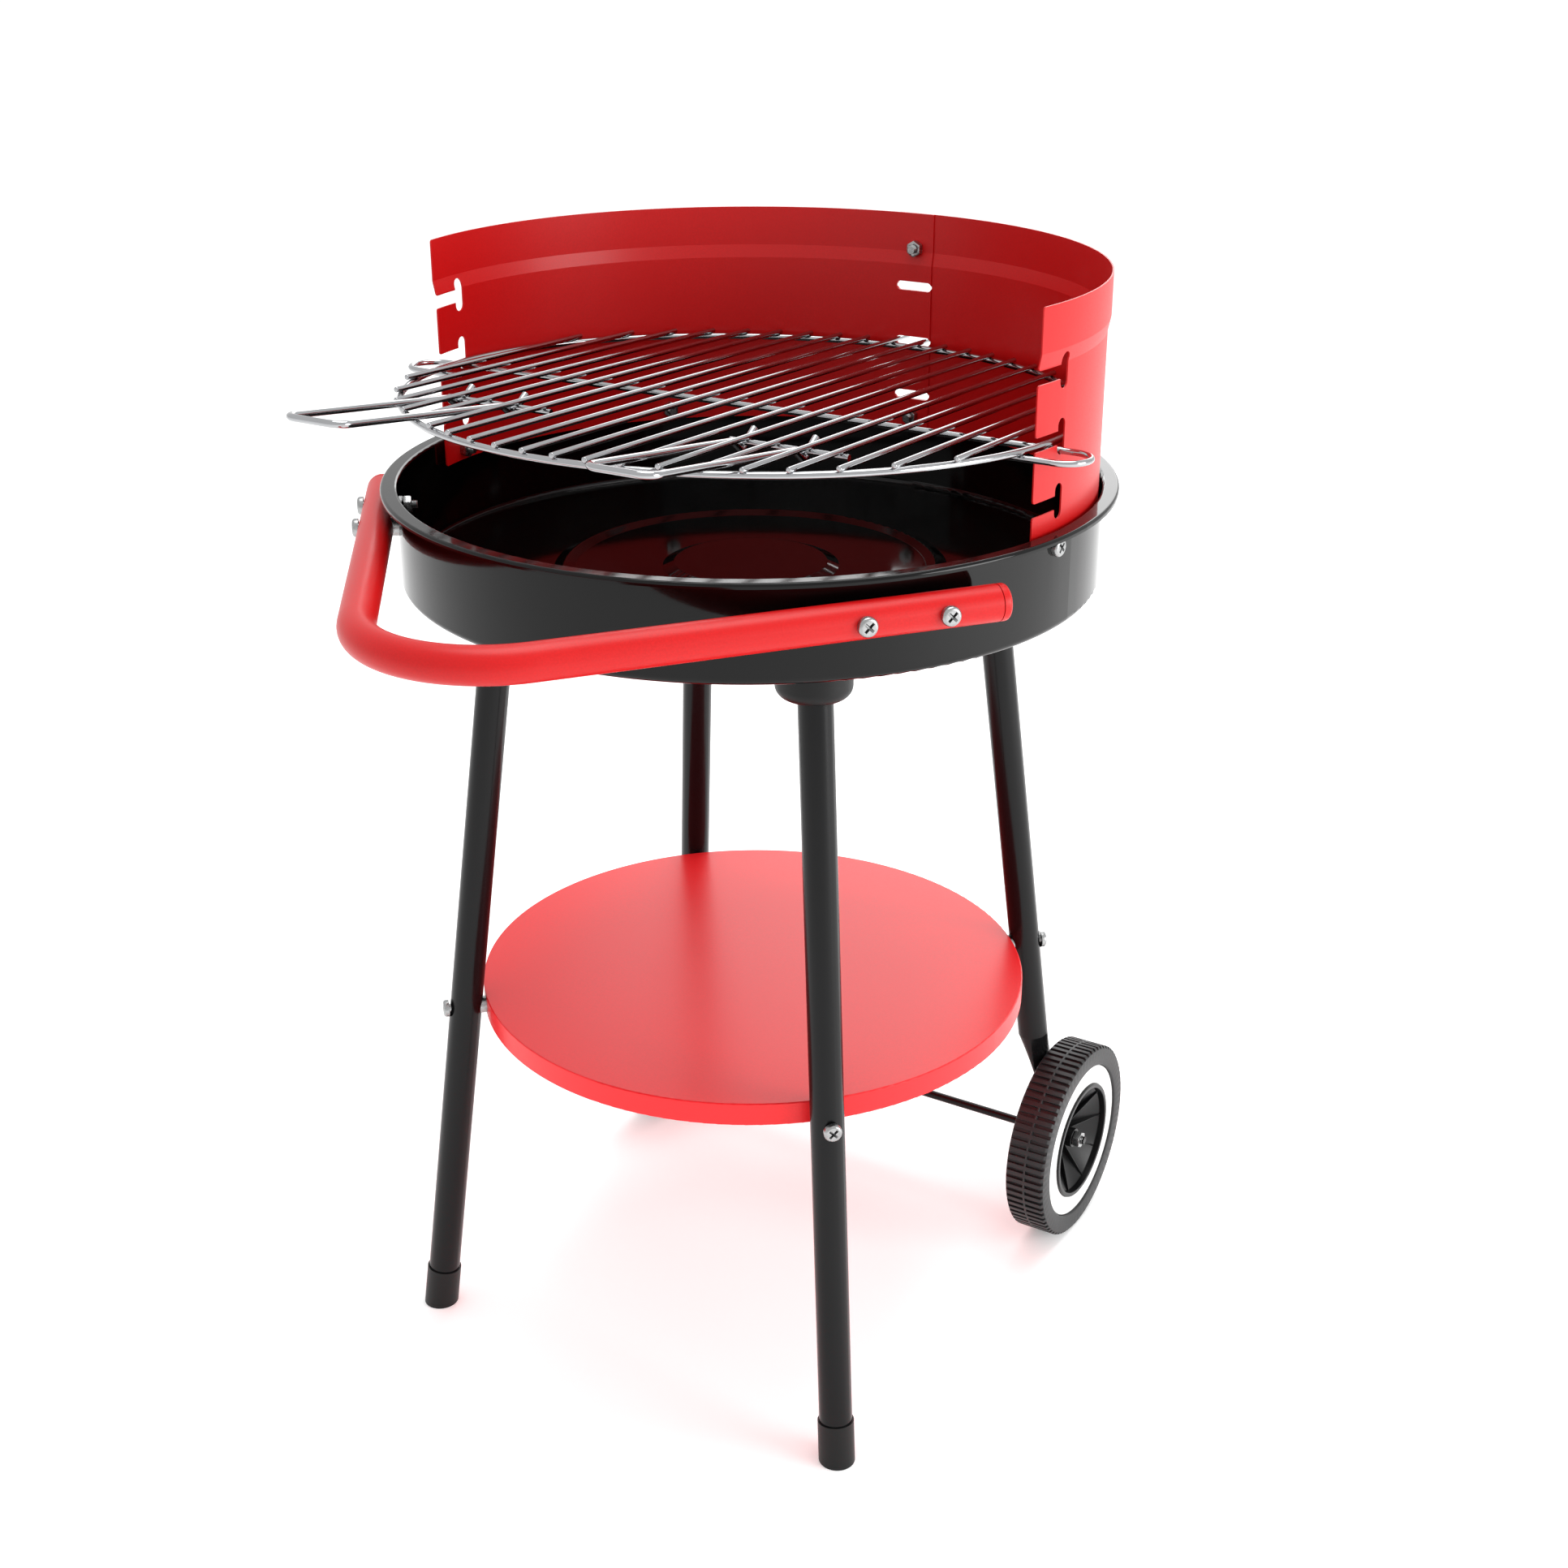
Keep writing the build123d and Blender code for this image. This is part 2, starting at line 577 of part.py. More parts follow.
def axle():
    half = nut_seat + axle_nut_height + axle_tail
    start = (-half, axle_y, axle_height)
    parts["axle"] = rod(start, (half, axle_y, axle_height), axle_dia / 2)
    nuts, washers = [], []
    for x_side in (-1, 1):
        out = (x_side, 0, 0)
        top = Plane(origin=(x_side * (nut_seat + axle_nut_height), axle_y, axle_height), z_dir=out)
        nuts.append(top * hex_nut(axle_nut_flats, axle_nut_height, axle_dia / 2))
        seat = Plane(origin=(x_side * (tab_x + tab_thick / 2), axle_y, axle_height), z_dir=out)
        disc = Cylinder(axle_washer_dia / 2, axle_washer, align=BASE)
        washers.append(seat * (disc - Cylinder(axle_dia / 2, 4 * axle_washer)))
    parts["axle_nuts"] = group(nuts)
    parts["axle_washers"] = group(washers)


# ---- grate -------------------------------------------------------------------------------------
def grate_frame():
    """Location of the grate: its own origin is the middle of the long support rod."""
    return Location((0, rod_y, rod_z), (-grate_tilt, 0, 0))


def bar_ends(x):
    """Front and rear ends of a bar in the grate's own frame."""
    reach = sqrt((grate_ring_radius + bar_overhang) ** 2 - x ** 2)
    front, rear = ring_y - reach, ring_y + reach
    if abs(x) < bar_pitch:
        rear = outer_sheet + sheet + tip_reach - rod_y
    return front, rear


def wire_handle(first_bar):
    """U-shaped lifting handle whose two ends are hooked under a short rod."""
    left = bar_x[first_bar] - hook_offset
    right = left + 2 * bar_pitch
    grip_y = ring_front - grip_reach
    bottom = hook_rod_level - (rod_wire + handle_wire) / 2 - hook_seat
    side = [(hook_y + stub_run, bottom + stub_rise), (hook_y, bottom),
            (hook_y - hook_run, bottom + hook_rise), (grip_y, grip_rise)]
    points = [(left, y, z) for y, z in side] + [(right, y, z) for y, z in reversed(side)]
    bends = [hook_bend, hook_bend, grip_corner, grip_corner, hook_bend, hook_bend]
    return wire(points, bends, handle_wire / 2)


def grate():
    place = grate_frame()
    ring = Pos(0, ring_y, ring_level) * Torus(grate_ring_radius, ring_wire / 2)
    bars = []
    for x in bar_x:
        front, rear = bar_ends(x)
        bars.append(rod((x, front, bar_level), (x, rear, bar_level), bar_wire / 2))
    tip = outer_sheet + loop_reach
    points = [(loop_return, -loop_width, 0), (tip, -loop_width, 0), (tip, 0, 0),
              (-tip, 0, 0), (-tip, -loop_width, 0), (-loop_return, -loop_width, 0)]
    support = wire(points, [loop_bend] * 4, rod_wire / 2)
    hook_rods = []
    for name, first_bar in zip(("left", "right"), hook_bars):
        parts[f"grate_handle_{name}"] = place * wire_handle(first_bar)
        start = (bar_x[first_bar] - hook_rod_tail, hook_y, hook_rod_level)
        end = (bar_x[first_bar + 3] + hook_rod_overhang, hook_y, hook_rod_level)
        hook_rods.append(place * rod(start, end, rod_wire / 2))
    parts["grate_ring"] = place * ring
    parts["grate_bars"] = group([place * bar for bar in bars])
    parts["grate_support_rod"] = place * support
    parts["grate_handle_rods"] = group(hook_rods)


# ---- assembly ----------------------------------------------------------------------------------
def build():
    parts["bowl"] = bowl()
    left_half = half_shield(inner_sheet, 90 - shield_lap, 90 + shield_lap + shield_drop)
    right_half = half_shield(outer_sheet, -shield_drop, 90 + shield_lap + shield_drop)
    parts["windshield_left"] = left_half
    parts["windshield_right"] = right_half
    shield_fasteners(left_half)
    push_handle()
    legs()
    parts["shelf"] = shelf()
    axle()
    wheel("left", -1)
    wheel("right", 1)
    grate()


build()
os.makedirs("parts", exist_ok=True)
for name, shape in parts.items():
    export_step(to_frame * shape, f"parts/{name}.step")
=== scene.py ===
import json
import math

import bmesh
import bpy
from bpy.props import FloatProperty, IntProperty, PointerProperty, StringProperty
from mathutils import Matrix, Vector


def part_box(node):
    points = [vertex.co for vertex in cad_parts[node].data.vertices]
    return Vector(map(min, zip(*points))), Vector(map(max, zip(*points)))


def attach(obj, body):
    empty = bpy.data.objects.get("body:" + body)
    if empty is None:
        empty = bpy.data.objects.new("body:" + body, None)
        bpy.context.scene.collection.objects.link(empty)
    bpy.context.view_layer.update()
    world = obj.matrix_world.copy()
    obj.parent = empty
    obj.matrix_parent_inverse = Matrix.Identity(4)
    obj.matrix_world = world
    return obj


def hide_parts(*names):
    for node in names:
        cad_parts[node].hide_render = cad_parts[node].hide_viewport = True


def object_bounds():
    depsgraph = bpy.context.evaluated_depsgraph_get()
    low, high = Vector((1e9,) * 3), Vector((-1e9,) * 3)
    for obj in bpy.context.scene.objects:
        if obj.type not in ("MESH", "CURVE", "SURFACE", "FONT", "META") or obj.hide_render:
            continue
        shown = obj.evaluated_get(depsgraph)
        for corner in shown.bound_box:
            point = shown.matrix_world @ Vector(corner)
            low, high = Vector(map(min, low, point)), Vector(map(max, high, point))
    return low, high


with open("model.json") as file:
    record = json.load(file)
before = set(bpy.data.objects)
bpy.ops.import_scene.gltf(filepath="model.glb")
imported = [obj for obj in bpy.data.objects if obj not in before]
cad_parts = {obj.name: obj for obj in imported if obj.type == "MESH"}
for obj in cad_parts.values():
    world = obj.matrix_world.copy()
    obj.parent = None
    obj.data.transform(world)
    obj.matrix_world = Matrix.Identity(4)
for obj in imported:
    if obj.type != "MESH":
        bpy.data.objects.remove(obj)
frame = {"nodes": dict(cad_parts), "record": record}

bl_info = {
    "name": "Trolley charcoal grill",
    "version": (1, 0, 0),
    "blender": (4, 5, 0),
    "location": "3D View > Sidebar > Grill",
    "description": "Models the fine pieces of a round charcoal grill and sets the studio",
    "category": "Add Mesh",
}

MM = 0.001
FULL_TURN = 2 * math.pi
MERGE = MM / 1000                # corners closer than this are one
WELD = MM / 200                  # the same for the loose triangles of the frame
SMOOTH_BELOW = math.radians(30)  # edges that bend less are shaded smooth
NEARLY = 0.9                     # share of a height or of a normal that counts as all of it
BODY_OF = {
    node: body
    for body, nodes in frame["record"]["behaviour"]["bodies"].items()
    for node in nodes
}
SLOT_OF = {part["node"]: part["material_slot"] for part in frame["record"]["subparts"]}
LOWEST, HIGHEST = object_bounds()
BOWL_LOW, BOWL_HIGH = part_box("bowl")
BOWL_AXIS = (BOWL_LOW + BOWL_HIGH) / 2


# ---- settings ----------------------------------------------------------------------------------
def measure(name, description, default):
    return FloatProperty(
        name=name, description=description, default=default, subtype="DISTANCE", precision=4)


class GrillWheelSettings(bpy.types.PropertyGroup):
    """Sizes of the moulded wheels"""

    lug_count: IntProperty(
        name="Lugs", description="Tread lugs round each half of a tyre",
        default=76, min=12,
    )
    tread_depth: measure("Tread depth", "Height of the lugs above the grooves", 2.0 * MM)
    rib_width: measure("Tread rib", "Width of the rib round the middle of the tread", 1.6 * MM)
    shoulder: measure("Shoulder", "Chamfer at the outer end of each lug", 1.5 * MM)
    lip_width: measure("Hub lip", "Thickness of the lip inside the trim ring", 3.2 * MM)
    boss_radius: measure("Boss radius", "Outside of the tube that runs on the axle", 7.5 * MM)
    boss_rise: measure("Boss rise", "Height of the boss above the inner side of the wheel", 23.5 * MM)
    spoke_count: IntProperty(
        name="Ribs", description="Stiffening ribs in the dish of a hub",
        default=10, min=3,
    )
    spoke_thickness: measure("Rib thickness", "Thickness of a stiffening rib", 1.0 * MM)


class GrillFastenerSettings(bpy.types.PropertyGroup):
    """Sizes of the bolts and nuts"""

    shank: measure("Shank", "Diameter of a bolt", 6 * MM)
    head_height: measure("Head height", "Height of a pan head", 4 * MM)
    head_width: measure("Head width", "Diameter of a pan head", 12 * MM)
    recess_span: measure("Recess span", "Across the cross recess", 7.4 * MM)
    recess_width: measure("Recess width", "Width of one wing of the recess", 1.75 * MM)
    thread_pitch: measure("Pitch", "Rise of the thread in one turn", 1 * MM)
    thread_length: measure("Thread length", "Threaded end of a bolt", 14 * MM)
    nut_flats: measure("Nut", "Across the flats of a nut", 10 * MM)
    nut_height: measure("Nut height", "Height of a nut", 5 * MM)


class GrillFinishSettings(bpy.types.PropertyGroup):
    """Colours of the finishes, as sRGB hex values"""

    red: StringProperty(
        name="Powder coat", description="Red of the windshield and the handle",
        default="#C40507",
    )
    board: StringProperty(name="Shelf", description="Red of the lacquered shelf", default="#FF2026")
    enamel: StringProperty(name="Enamel", description="Black of the fire bowl", default="#030303")
    leg_paint: StringProperty(
        name="Leg paint", description="Black of the legs and the axle",
        default="#0B0B0C",
    )
    moulded: StringProperty(
        name="Feet", description="Black of the feet and the leg sockets",
        default="#0F0F0F",
    )
    tyre: StringProperty(name="Tyre", description="Charcoal of the tyres", default="#202021")
    hub: StringProperty(name="Hub", description="Black of the hubs", default="#060607")
    ring: StringProperty(name="Trim ring", description="White of the trim rings", default="#F3F3F1")
    chrome: StringProperty(name="Chrome", description="Tint of the chromed wires", default="#B2B3B5")
    zinc: StringProperty(name="Zinc", description="Tint of the bolts and nuts", default="#ACADAD")


class GrillStageSettings(bpy.types.PropertyGroup):
    """Camera, floor and lamps"""

    azimuth: FloatProperty(
        name="Azimuth", description="Camera's turn round the grill",
        default=math.radians(31.106), subtype="ANGLE",
    )
    elevation: FloatProperty(
        name="Elevation", description="Camera's height above the level",
        default=math.radians(23.237), subtype="ANGLE",
    )
    distance: measure("Distance", "Camera to the point it looks at", 1.4779)
    aim_side: measure("Aim X", "Point looked at, right of the middle", 37.9 * MM)
    aim_back: measure("Aim Y", "Point looked at, behind the middle", 39.1 * MM)
    aim_up: measure("Aim Z", "Point looked at, above the middle", 31.9 * MM)
    lens: FloatProperty(name="Lens", description="Focal length", default=50.0, unit="CAMERA")
    floor_radius: measure("Floor", "Radius of the floor", 30.0)
    sky: FloatProperty(name="Ambient", description="Strength of the even light", default=0.9, min=0)
    floor_glow: FloatProperty(
        name="Floor glow", description="Light through the translucent floor",
        default=0.2, min=0,
    )
    floor: StringProperty(name="Floor colour", description="Pale floor", default="#FBFBFB")


# ---- modelling by hand -------------------------------------------------------------------------
def fresh():
    """Leaves edit mode and lets go of everything."""
    if bpy.context.object and bpy.context.object.mode != "OBJECT":
        bpy.ops.object.mode_set(mode="OBJECT")
    bpy.ops.object.select_all(action="DESELECT")


def take(piece):
    """Makes the piece the only selected one, and the active one."""
    fresh()
    bpy.context.view_layer.objects.active = piece
    piece.select_set(True)


def settle():
    """Puts the active piece's place, turn and scale into its mesh."""
    bpy.ops.object.transform_apply(location=True, rotation=True, scale=True)


def edit():
    bpy.ops.object.mode_set(mode="EDIT")


def leave_edit():
    bpy.ops.object.mode_set(mode="OBJECT")


def name_it(name):
    piece = bpy.context.object
    piece.name = name
    piece.data.name = name
    return piece


def pick(piece, test, kind="VERT"):
    """Selects the corners, edges or faces that pass, in edit mode."""
    bpy.ops.mesh.select_all(action="DESELECT")
    bpy.ops.mesh.select_mode(type=kind)
    mesh = bmesh.from_edit_mesh(piece.data)
    things = {"VERT": mesh.verts, "EDGE": mesh.edges, "FACE": mesh.faces}[kind]
    for thing in things:
        thing.select_set(bool(test(thing)))
    mesh.select_flush_mode()
    bmesh.update_edit_mesh(piece.data)


def cylinder(name, facets, radius, bottom, top):
    """A closed cylinder about Z between two heights."""
    fresh()
    bpy.ops.mesh.primitive_cylinder_add(
        vertices=facets, radius=radius, depth=top - bottom, location=(0, 0, (bottom + top) / 2))
    piece = name_it(name)
    settle()
    return piece


def round_top(piece, height, width):
    """Rounds the upper edge of a cylinder of that height, left in edit mode."""
    edit()
    pick(piece, lambda edge: all(corner.co.z > height * NEARLY for corner in edge.verts), "EDGE")
    bpy.ops.mesh.bevel(offset=width, segments=6, profile=0.5)


def draw_line(name, points):
    """An open line of edges through the points, left in edit mode."""
    fresh()
    bpy.ops.mesh.primitive_plane_add(size=MM, location=points[0])
    piece = name_it(name)
    edit()
    bpy.ops.mesh.select_mode(type="VERT")
    bpy.ops.mesh.select_all(action="SELECT")
    bpy.ops.mesh.merge(type="CENTER")
    for before, after in zip(points, points[1:]):
        step = Vector(after) - Vector(before)
        bpy.ops.mesh.extrude_vertices_move(TRANSFORM_OT_translate={"value": step})
    return piece


def turn_line(name, outline, centre, steps):
    """A ring turned about X through the centre, from the (along X, radius) points of its outline."""
    points = [centre + Vector((along, 0, radius)) for along, radius in outline + outline[:1]]
    piece = draw_line(name, points)
    bpy.ops.mesh.select_all(action="SELECT")
    bpy.ops.mesh.remove_doubles(threshold=MERGE)
    bpy.ops.mesh.spin(steps=steps, angle=FULL_TURN, center=centre, axis=(1, 0, 0))
    close_up(piece)
    return piece


def close_up(piece):
    """Merges doubles, turns the faces outwards and puts the place into the mesh."""
    if piece.mode != "EDIT":
        take(piece)
        edit()
    bpy.ops.mesh.select_all(action="SELECT")
    bpy.ops.mesh.remove_doubles(threshold=MERGE)
    bpy.ops.mesh.normals_make_consistent(inside=False)
    leave_edit()
    settle()


def modify(piece, kind, **settings):
    """Adds a modifier and applies it."""
    take(piece)
    modifier = piece.modifiers.new(kind.title(), kind)
    for key, value in settings.items():
        setattr(modifier, key, value)
    bpy.ops.object.modifier_apply(modifier=modifier.name)


def soften(piece, width, segments=2, angle=35):
    """Rounds every edge that is sharper than the angle."""
    modify(piece, "BEVEL", width=width, segments=segments, limit_method="ANGLE",
           angle_limit=math.radians(angle))


def copy_to(piece, place, name):
    """A copy with its own mesh, moved there, with its place in its mesh."""
    copy = piece.copy()
    copy.data = piece.data.copy()
    copy.name = name
    bpy.context.scene.collection.objects.link(copy)
    take(copy)
    copy.matrix_world = place
    settle()
    return copy


def join(pieces, name):
    fresh()
    for piece in pieces:
        piece.select_set(True)
    bpy.context.view_layer.objects.active = pieces[0]
    if len(pieces) > 1:
        bpy.ops.object.join()
    return name_it(name)


def scrap(*pieces):
    for piece in pieces:
        bpy.data.objects.remove(piece)


def hand_over(piece, *nodes):
    """Gives the piece the finish and the body of the nodes that it stands for."""
    take(piece)
    bpy.ops.object.shade_smooth_by_angle(angle=SMOOTH_BELOW)
    slot = SLOT_OF[nodes[0]]
    piece.data.materials.clear()
    piece.data.materials.append(bpy.data.materials[FINISHES[slot].title])
    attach(piece, BODY_OF[nodes[0]])
    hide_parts(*nodes)


def mirrored(piece, name):
    """The same piece on the other side of the grill."""
    other = copy_to(piece, Matrix.Identity(4), name)
    edit()
    bpy.ops.mesh.select_all(action="SELECT")
    bpy.ops.transform.resize(value=(-1, 1, 1), center_override=(0, 0, 0))
    bpy.ops.mesh.normals_make_consistent(inside=False)
    leave_edit()
    return other


# ---- places that come from the frame -----------------------------------------------------------
def solids(node):
    """The corners of each separate solid of a CAD node, from left to right."""
    mesh = bmesh.new()
    mesh.from_mesh(frame["nodes"][node].data)
    bmesh.ops.remove_doubles(mesh, verts=mesh.verts, dist=WELD)
    mesh.verts.ensure_lookup_table()
    seen = set()
    found = []
    for first in mesh.verts:
        if first.index in seen:
            continue
        seen.add(first.index)
        queue = [first]
        for corner in queue:
            for edge in corner.link_edges:
                near = edge.other_vert(corner)
                if near.index not in seen:
                    seen.add(near.index)
                    queue.append(near)
        found.append([corner.co.copy() for corner in queue])
    mesh.free()
    return sorted(found, key=lambda points: tuple(round(value, 3) for value in middle_of(points)))


def middle_of(points):
    """Middle of the box round the points."""
    low = Vector(map(min, *points))
    high = Vector(map(max, *points))
    return (low + high) / 2


def lying(points, out):
    """Matrix at the middle of a solid with Z along out, and the solid's ends along out."""
    out = out.normalized()
    side = Vector((0, 0, 1)).cross(out).normalized()
    up = out.cross(side)
    middle = Vector()
    for axis in (side, up):
        reach = [point.dot(axis) for point in points]
        middle += axis * (min(reach) + max(reach)) / 2
    along = [point.dot(out) for point in points]
    turn = Matrix((side, up, out)).transposed().to_4x4()
    return turn, middle, min(along), max(along)


def outwards(points):
    """Level direction from the bowl's axis to a solid."""
    middle = middle_of(points) - BOWL_AXIS
    return Vector((middle.x, middle.y, 0)).normalized()


def arm_directions(side):
    """Direction of a handle arm towards the back, and outwards across it, from its two bolts."""
    middles = [middle_of(points) for points in solids("handle_bolts")]
    front, rear = sorted((middle for middle in middles if middle.x * side > 0), key=lambda middle: middle.y)
    along = (rear - front).normalized()
    across = along.cross(Vector((0, 0, 1))) * side
    return along, across


def placed(turn, middle, out, along):
    """The turned matrix with its origin moved that far along out."""
    return Matrix.Translation(middle + out * along) @ turn


# ---- finishes ----------------------------------------------------------------------------------
# The powder coat, the enamel and the black paints and plastics have an IOR below the usual 1.5 or so,
# which keeps them as deep as the real ones are in this even light.
FACTOR, ONE, OTHER, MIXED = 0, 6, 7, 2     # sockets of a Mix node that mixes colours


def linear(hex_text):
    """sRGB hex value as a linear colour."""
    values = [int(hex_text[n:n + 2], 16) / 255 for n in (1, 3, 5)]
    return tuple(v / 12.92 if v <= 0.04045 else ((v + 0.055) / 1.055) ** 2.4 for v in values) + (1.0,)


def shade(colour, factor):
    return tuple(min(1.0, channel * factor) for channel in colour[:3]) + (1.0,)


def feed(tree, node, inputs):
    """Sets inputs of a node, each to a value or to the socket that it is linked from."""
    for key, value in inputs.items():
        if isinstance(value, bpy.types.NodeSocket):
            tree.links.new(value, node.inputs[key])
        else:
            node.inputs[key].default_value = value


def add(tree, kind, inputs, **settings):
    """Adds a node with its settings and its inputs."""
    node = tree.nodes.new(kind)
    for key, value in settings.items():
        setattr(node, key, value)
    feed(tree, node, inputs)
    return node


def new_finish(name):
    """An empty material: its node tree, its object coordinates and its surface shader."""
    material = bpy.data.materials.new(name)
    material.use_nodes = True
    tree = material.node_tree
    tree.nodes.clear()
    place = add(tree, "ShaderNodeTexCoord", {}).outputs["Object"]
    surface = add(tree, "ShaderNodeBsdfPrincipled", {})
    add(tree, "ShaderNodeOutputMaterial", {"Surface": surface.outputs["BSDF"]})
    return tree, place, surface


def per_metre(size_mm):
    """Texture scale whose pattern repeats at about that size."""
    return 1000 / size_mm


def powder_coat(name, colour, peel_mm, grain_mm, roughness, coat):
    # Polyester powder melted onto sheet: an even colour, a fine sandy sparkle from the unmelted grains
    # and the soft ripple called orange peel. The real grain is 0.2 mm, drawn coarser so that it shows.
    tree, place, surface = new_finish(name)
    grain = add(tree, "ShaderNodeTexNoise", {"Vector": place, "Scale": per_metre(grain_mm), "Detail": 2.0})
    cloud = add(tree, "ShaderNodeTexNoise", {"Vector": place, "Scale": per_metre(60), "Detail": 3.0})
    speck = add(tree, "ShaderNodeMapRange", {
        "Value": grain.outputs["Fac"], "From Min": 0.35, "From Max": 0.65, "To Min": 0.0, "To Max": 1.0})
    tint = add(tree, "ShaderNodeMix", {
        FACTOR: speck.outputs["Result"], ONE: shade(colour, 0.9), OTHER: shade(colour, 1.09)},
        data_type="RGBA")
    wash = add(tree, "ShaderNodeMix", {
        FACTOR: cloud.outputs["Fac"], ONE: shade(colour, 0.97), OTHER: tint.outputs[MIXED]}, data_type="RGBA")
    gloss = add(tree, "ShaderNodeMapRange", {
        "Value": grain.outputs["Fac"], "To Min": roughness - 0.05, "To Max": roughness + 0.07})
    peel = add(tree, "ShaderNodeTexNoise", {"Vector": place, "Scale": per_metre(peel_mm), "Detail": 1.0})
    ripple = add(tree, "ShaderNodeBump", {
        "Height": peel.outputs["Fac"], "Strength": 0.25, "Distance": 0.06 * MM})
    sand = add(tree, "ShaderNodeBump", {
        "Height": grain.outputs["Fac"], "Strength": 0.3, "Distance": 0.03 * MM,
        "Normal": ripple.outputs["Normal"]})
    feed(tree, surface, {
        "Base Color": wash.outputs[MIXED], "Roughness": gloss.outputs["Result"], "IOR": 1.38,
        "Coat Weight": coat, "Coat Roughness": 0.22, "Normal": sand.outputs["Normal"]})


def red_powder_coat(name, colours):
    powder_coat(name, linear(colours.red), peel_mm=3.5, grain_mm=1.1, roughness=0.38, coat=0.06)


def lacquered_board(name, colours):
    # Particle board under thick rolled lacquer: a little paler than the powder coat and smoother, with a
    # longer ripple left by the roller.
    powder_coat(name, linear(colours.board), peel_mm=5.0, grain_mm=1.3, roughness=0.38, coat=0.12)


def vitreous_enamel(name, colours):
    # Glass fused onto pressed steel at 800 degrees: almost black, mirror bright, with a faint flow ripple.
    tree, place, surface = new_finish(name)
    colour = linear(colours.enamel)
    flow = add(tree, "ShaderNodeTexNoise", {"Vector": place, "Scale": per_metre(22), "Detail": 1.5})
    pits = add(tree, "ShaderNodeTexNoise", {"Vector": place, "Scale": per_metre(1.5), "Detail": 1.0})
    tint = add(tree, "ShaderNodeMix", {
        FACTOR: flow.outputs["Fac"], ONE: shade(colour, 0.8), OTHER: shade(colour, 1.25)}, data_type="RGBA")
    gloss = add(tree, "ShaderNodeMapRange", {"Value": pits.outputs["Fac"], "To Min": 0.05, "To Max": 0.11})
    wave = add(tree, "ShaderNodeBump", {
        "Height": flow.outputs["Fac"], "Strength": 0.12, "Distance": 0.25 * MM})
    feed(tree, surface, {
        "Base Color": tint.outputs[MIXED], "Roughness": gloss.outputs["Result"], "IOR": 1.34,
        "Normal": wave.outputs["Normal"]})


def stoved_paint(name, colours):
    # Black paint baked on drawn tube: smooth and glossy, with faint long draw marks along the tube.
    tree, place, surface = new_finish(name)
    colour = linear(colours.leg_paint)
    stretch = add(tree, "ShaderNodeMapping", {"Vector": place, "Scale": (1.0, 1.0, 0.06)})
    marks = add(tree, "ShaderNodeTexNoise", {
        "Vector": stretch.outputs["Vector"], "Scale": per_metre(2.2), "Detail": 3.0})
    dust = add(tree, "ShaderNodeTexNoise", {"Vector": place, "Scale": per_metre(1.2), "Detail": 2.0})
    tint = add(tree, "ShaderNodeMix", {
        FACTOR: dust.outputs["Fac"], ONE: shade(colour, 0.85), OTHER: shade(colour, 1.15)}, data_type="RGBA")
    gloss = add(tree, "ShaderNodeMapRange", {"Value": marks.outputs["Fac"], "To Min": 0.17, "To Max": 0.3})
    lines = add(tree, "ShaderNodeBump", {
        "Height": marks.outputs["Fac"], "Strength": 0.15, "Distance": 0.04 * MM})
    feed(tree, surface, {
        "Base Color": tint.outputs[MIXED], "Roughness": gloss.outputs["Result"], "IOR": 1.31,
        "Normal": lines.outputs["Normal"]})


def moulded_plastic(name, colour, grain_mm, roughness, depth_mm, ior):
    """Plastic from an etched mould: a fine even grain in the surface and slight clouding of the colour."""
    tree, place, surface = new_finish(name)
    grain = add(tree, "ShaderNodeTexNoise", {"Vector": place, "Scale": per_metre(grain_mm), "Detail": 2.0})
    flow = add(tree, "ShaderNodeTexNoise", {
        "Vector": place, "Scale": per_metre(30), "Detail": 2.0, "Distortion": 0.6})
    tint = add(tree, "ShaderNodeMix", {
        FACTOR: flow.outputs["Fac"], ONE: shade(colour, 0.9), OTHER: shade(colour, 1.1)}, data_type="RGBA")
    gloss = add(tree, "ShaderNodeMapRange", {
        "Value": grain.outputs["Fac"], "To Min": roughness - 0.06, "To Max": roughness + 0.08})
    etch = add(tree, "ShaderNodeBump", {
        "Height": grain.outputs["Fac"], "Strength": 0.3, "Distance": depth_mm * MM})
    feed(tree, surface, {
        "Base Color": tint.outputs[MIXED], "Roughness": gloss.outputs["Result"], "IOR": ior,
        "Normal": etch.outputs["Normal"]})


def polyamide(name, colours):
    # Glass-filled nylon: dense black with a satin sheen.
    moulded_plastic(
        name, linear(colours.moulded), grain_mm=0.9, roughness=0.42, depth_mm=0.05, ior=1.34)


def tyre_plastic(name, colours):
    # Soft polyethylene blown over the hub: charcoal and matt, it greys where light grazes it.
    moulded_plastic(
        name, linear(colours.tyre), grain_mm=1.1, roughness=0.46, depth_mm=0.08, ior=1.45)


def hub_plastic(name, colours):
    # Polypropylene: black, slightly waxy gloss.
    moulded_plastic(
        name, linear(colours.hub), grain_mm=1.0, roughness=0.3, depth_mm=0.05, ior=1.36)


def ring_plastic(name, colours):
    # Polystyrene: white and glossy, with no grain to speak of.
    moulded_plastic(
        name, linear(colours.ring), grain_mm=3.0, roughness=0.22, depth_mm=0.01, ior=1.59)


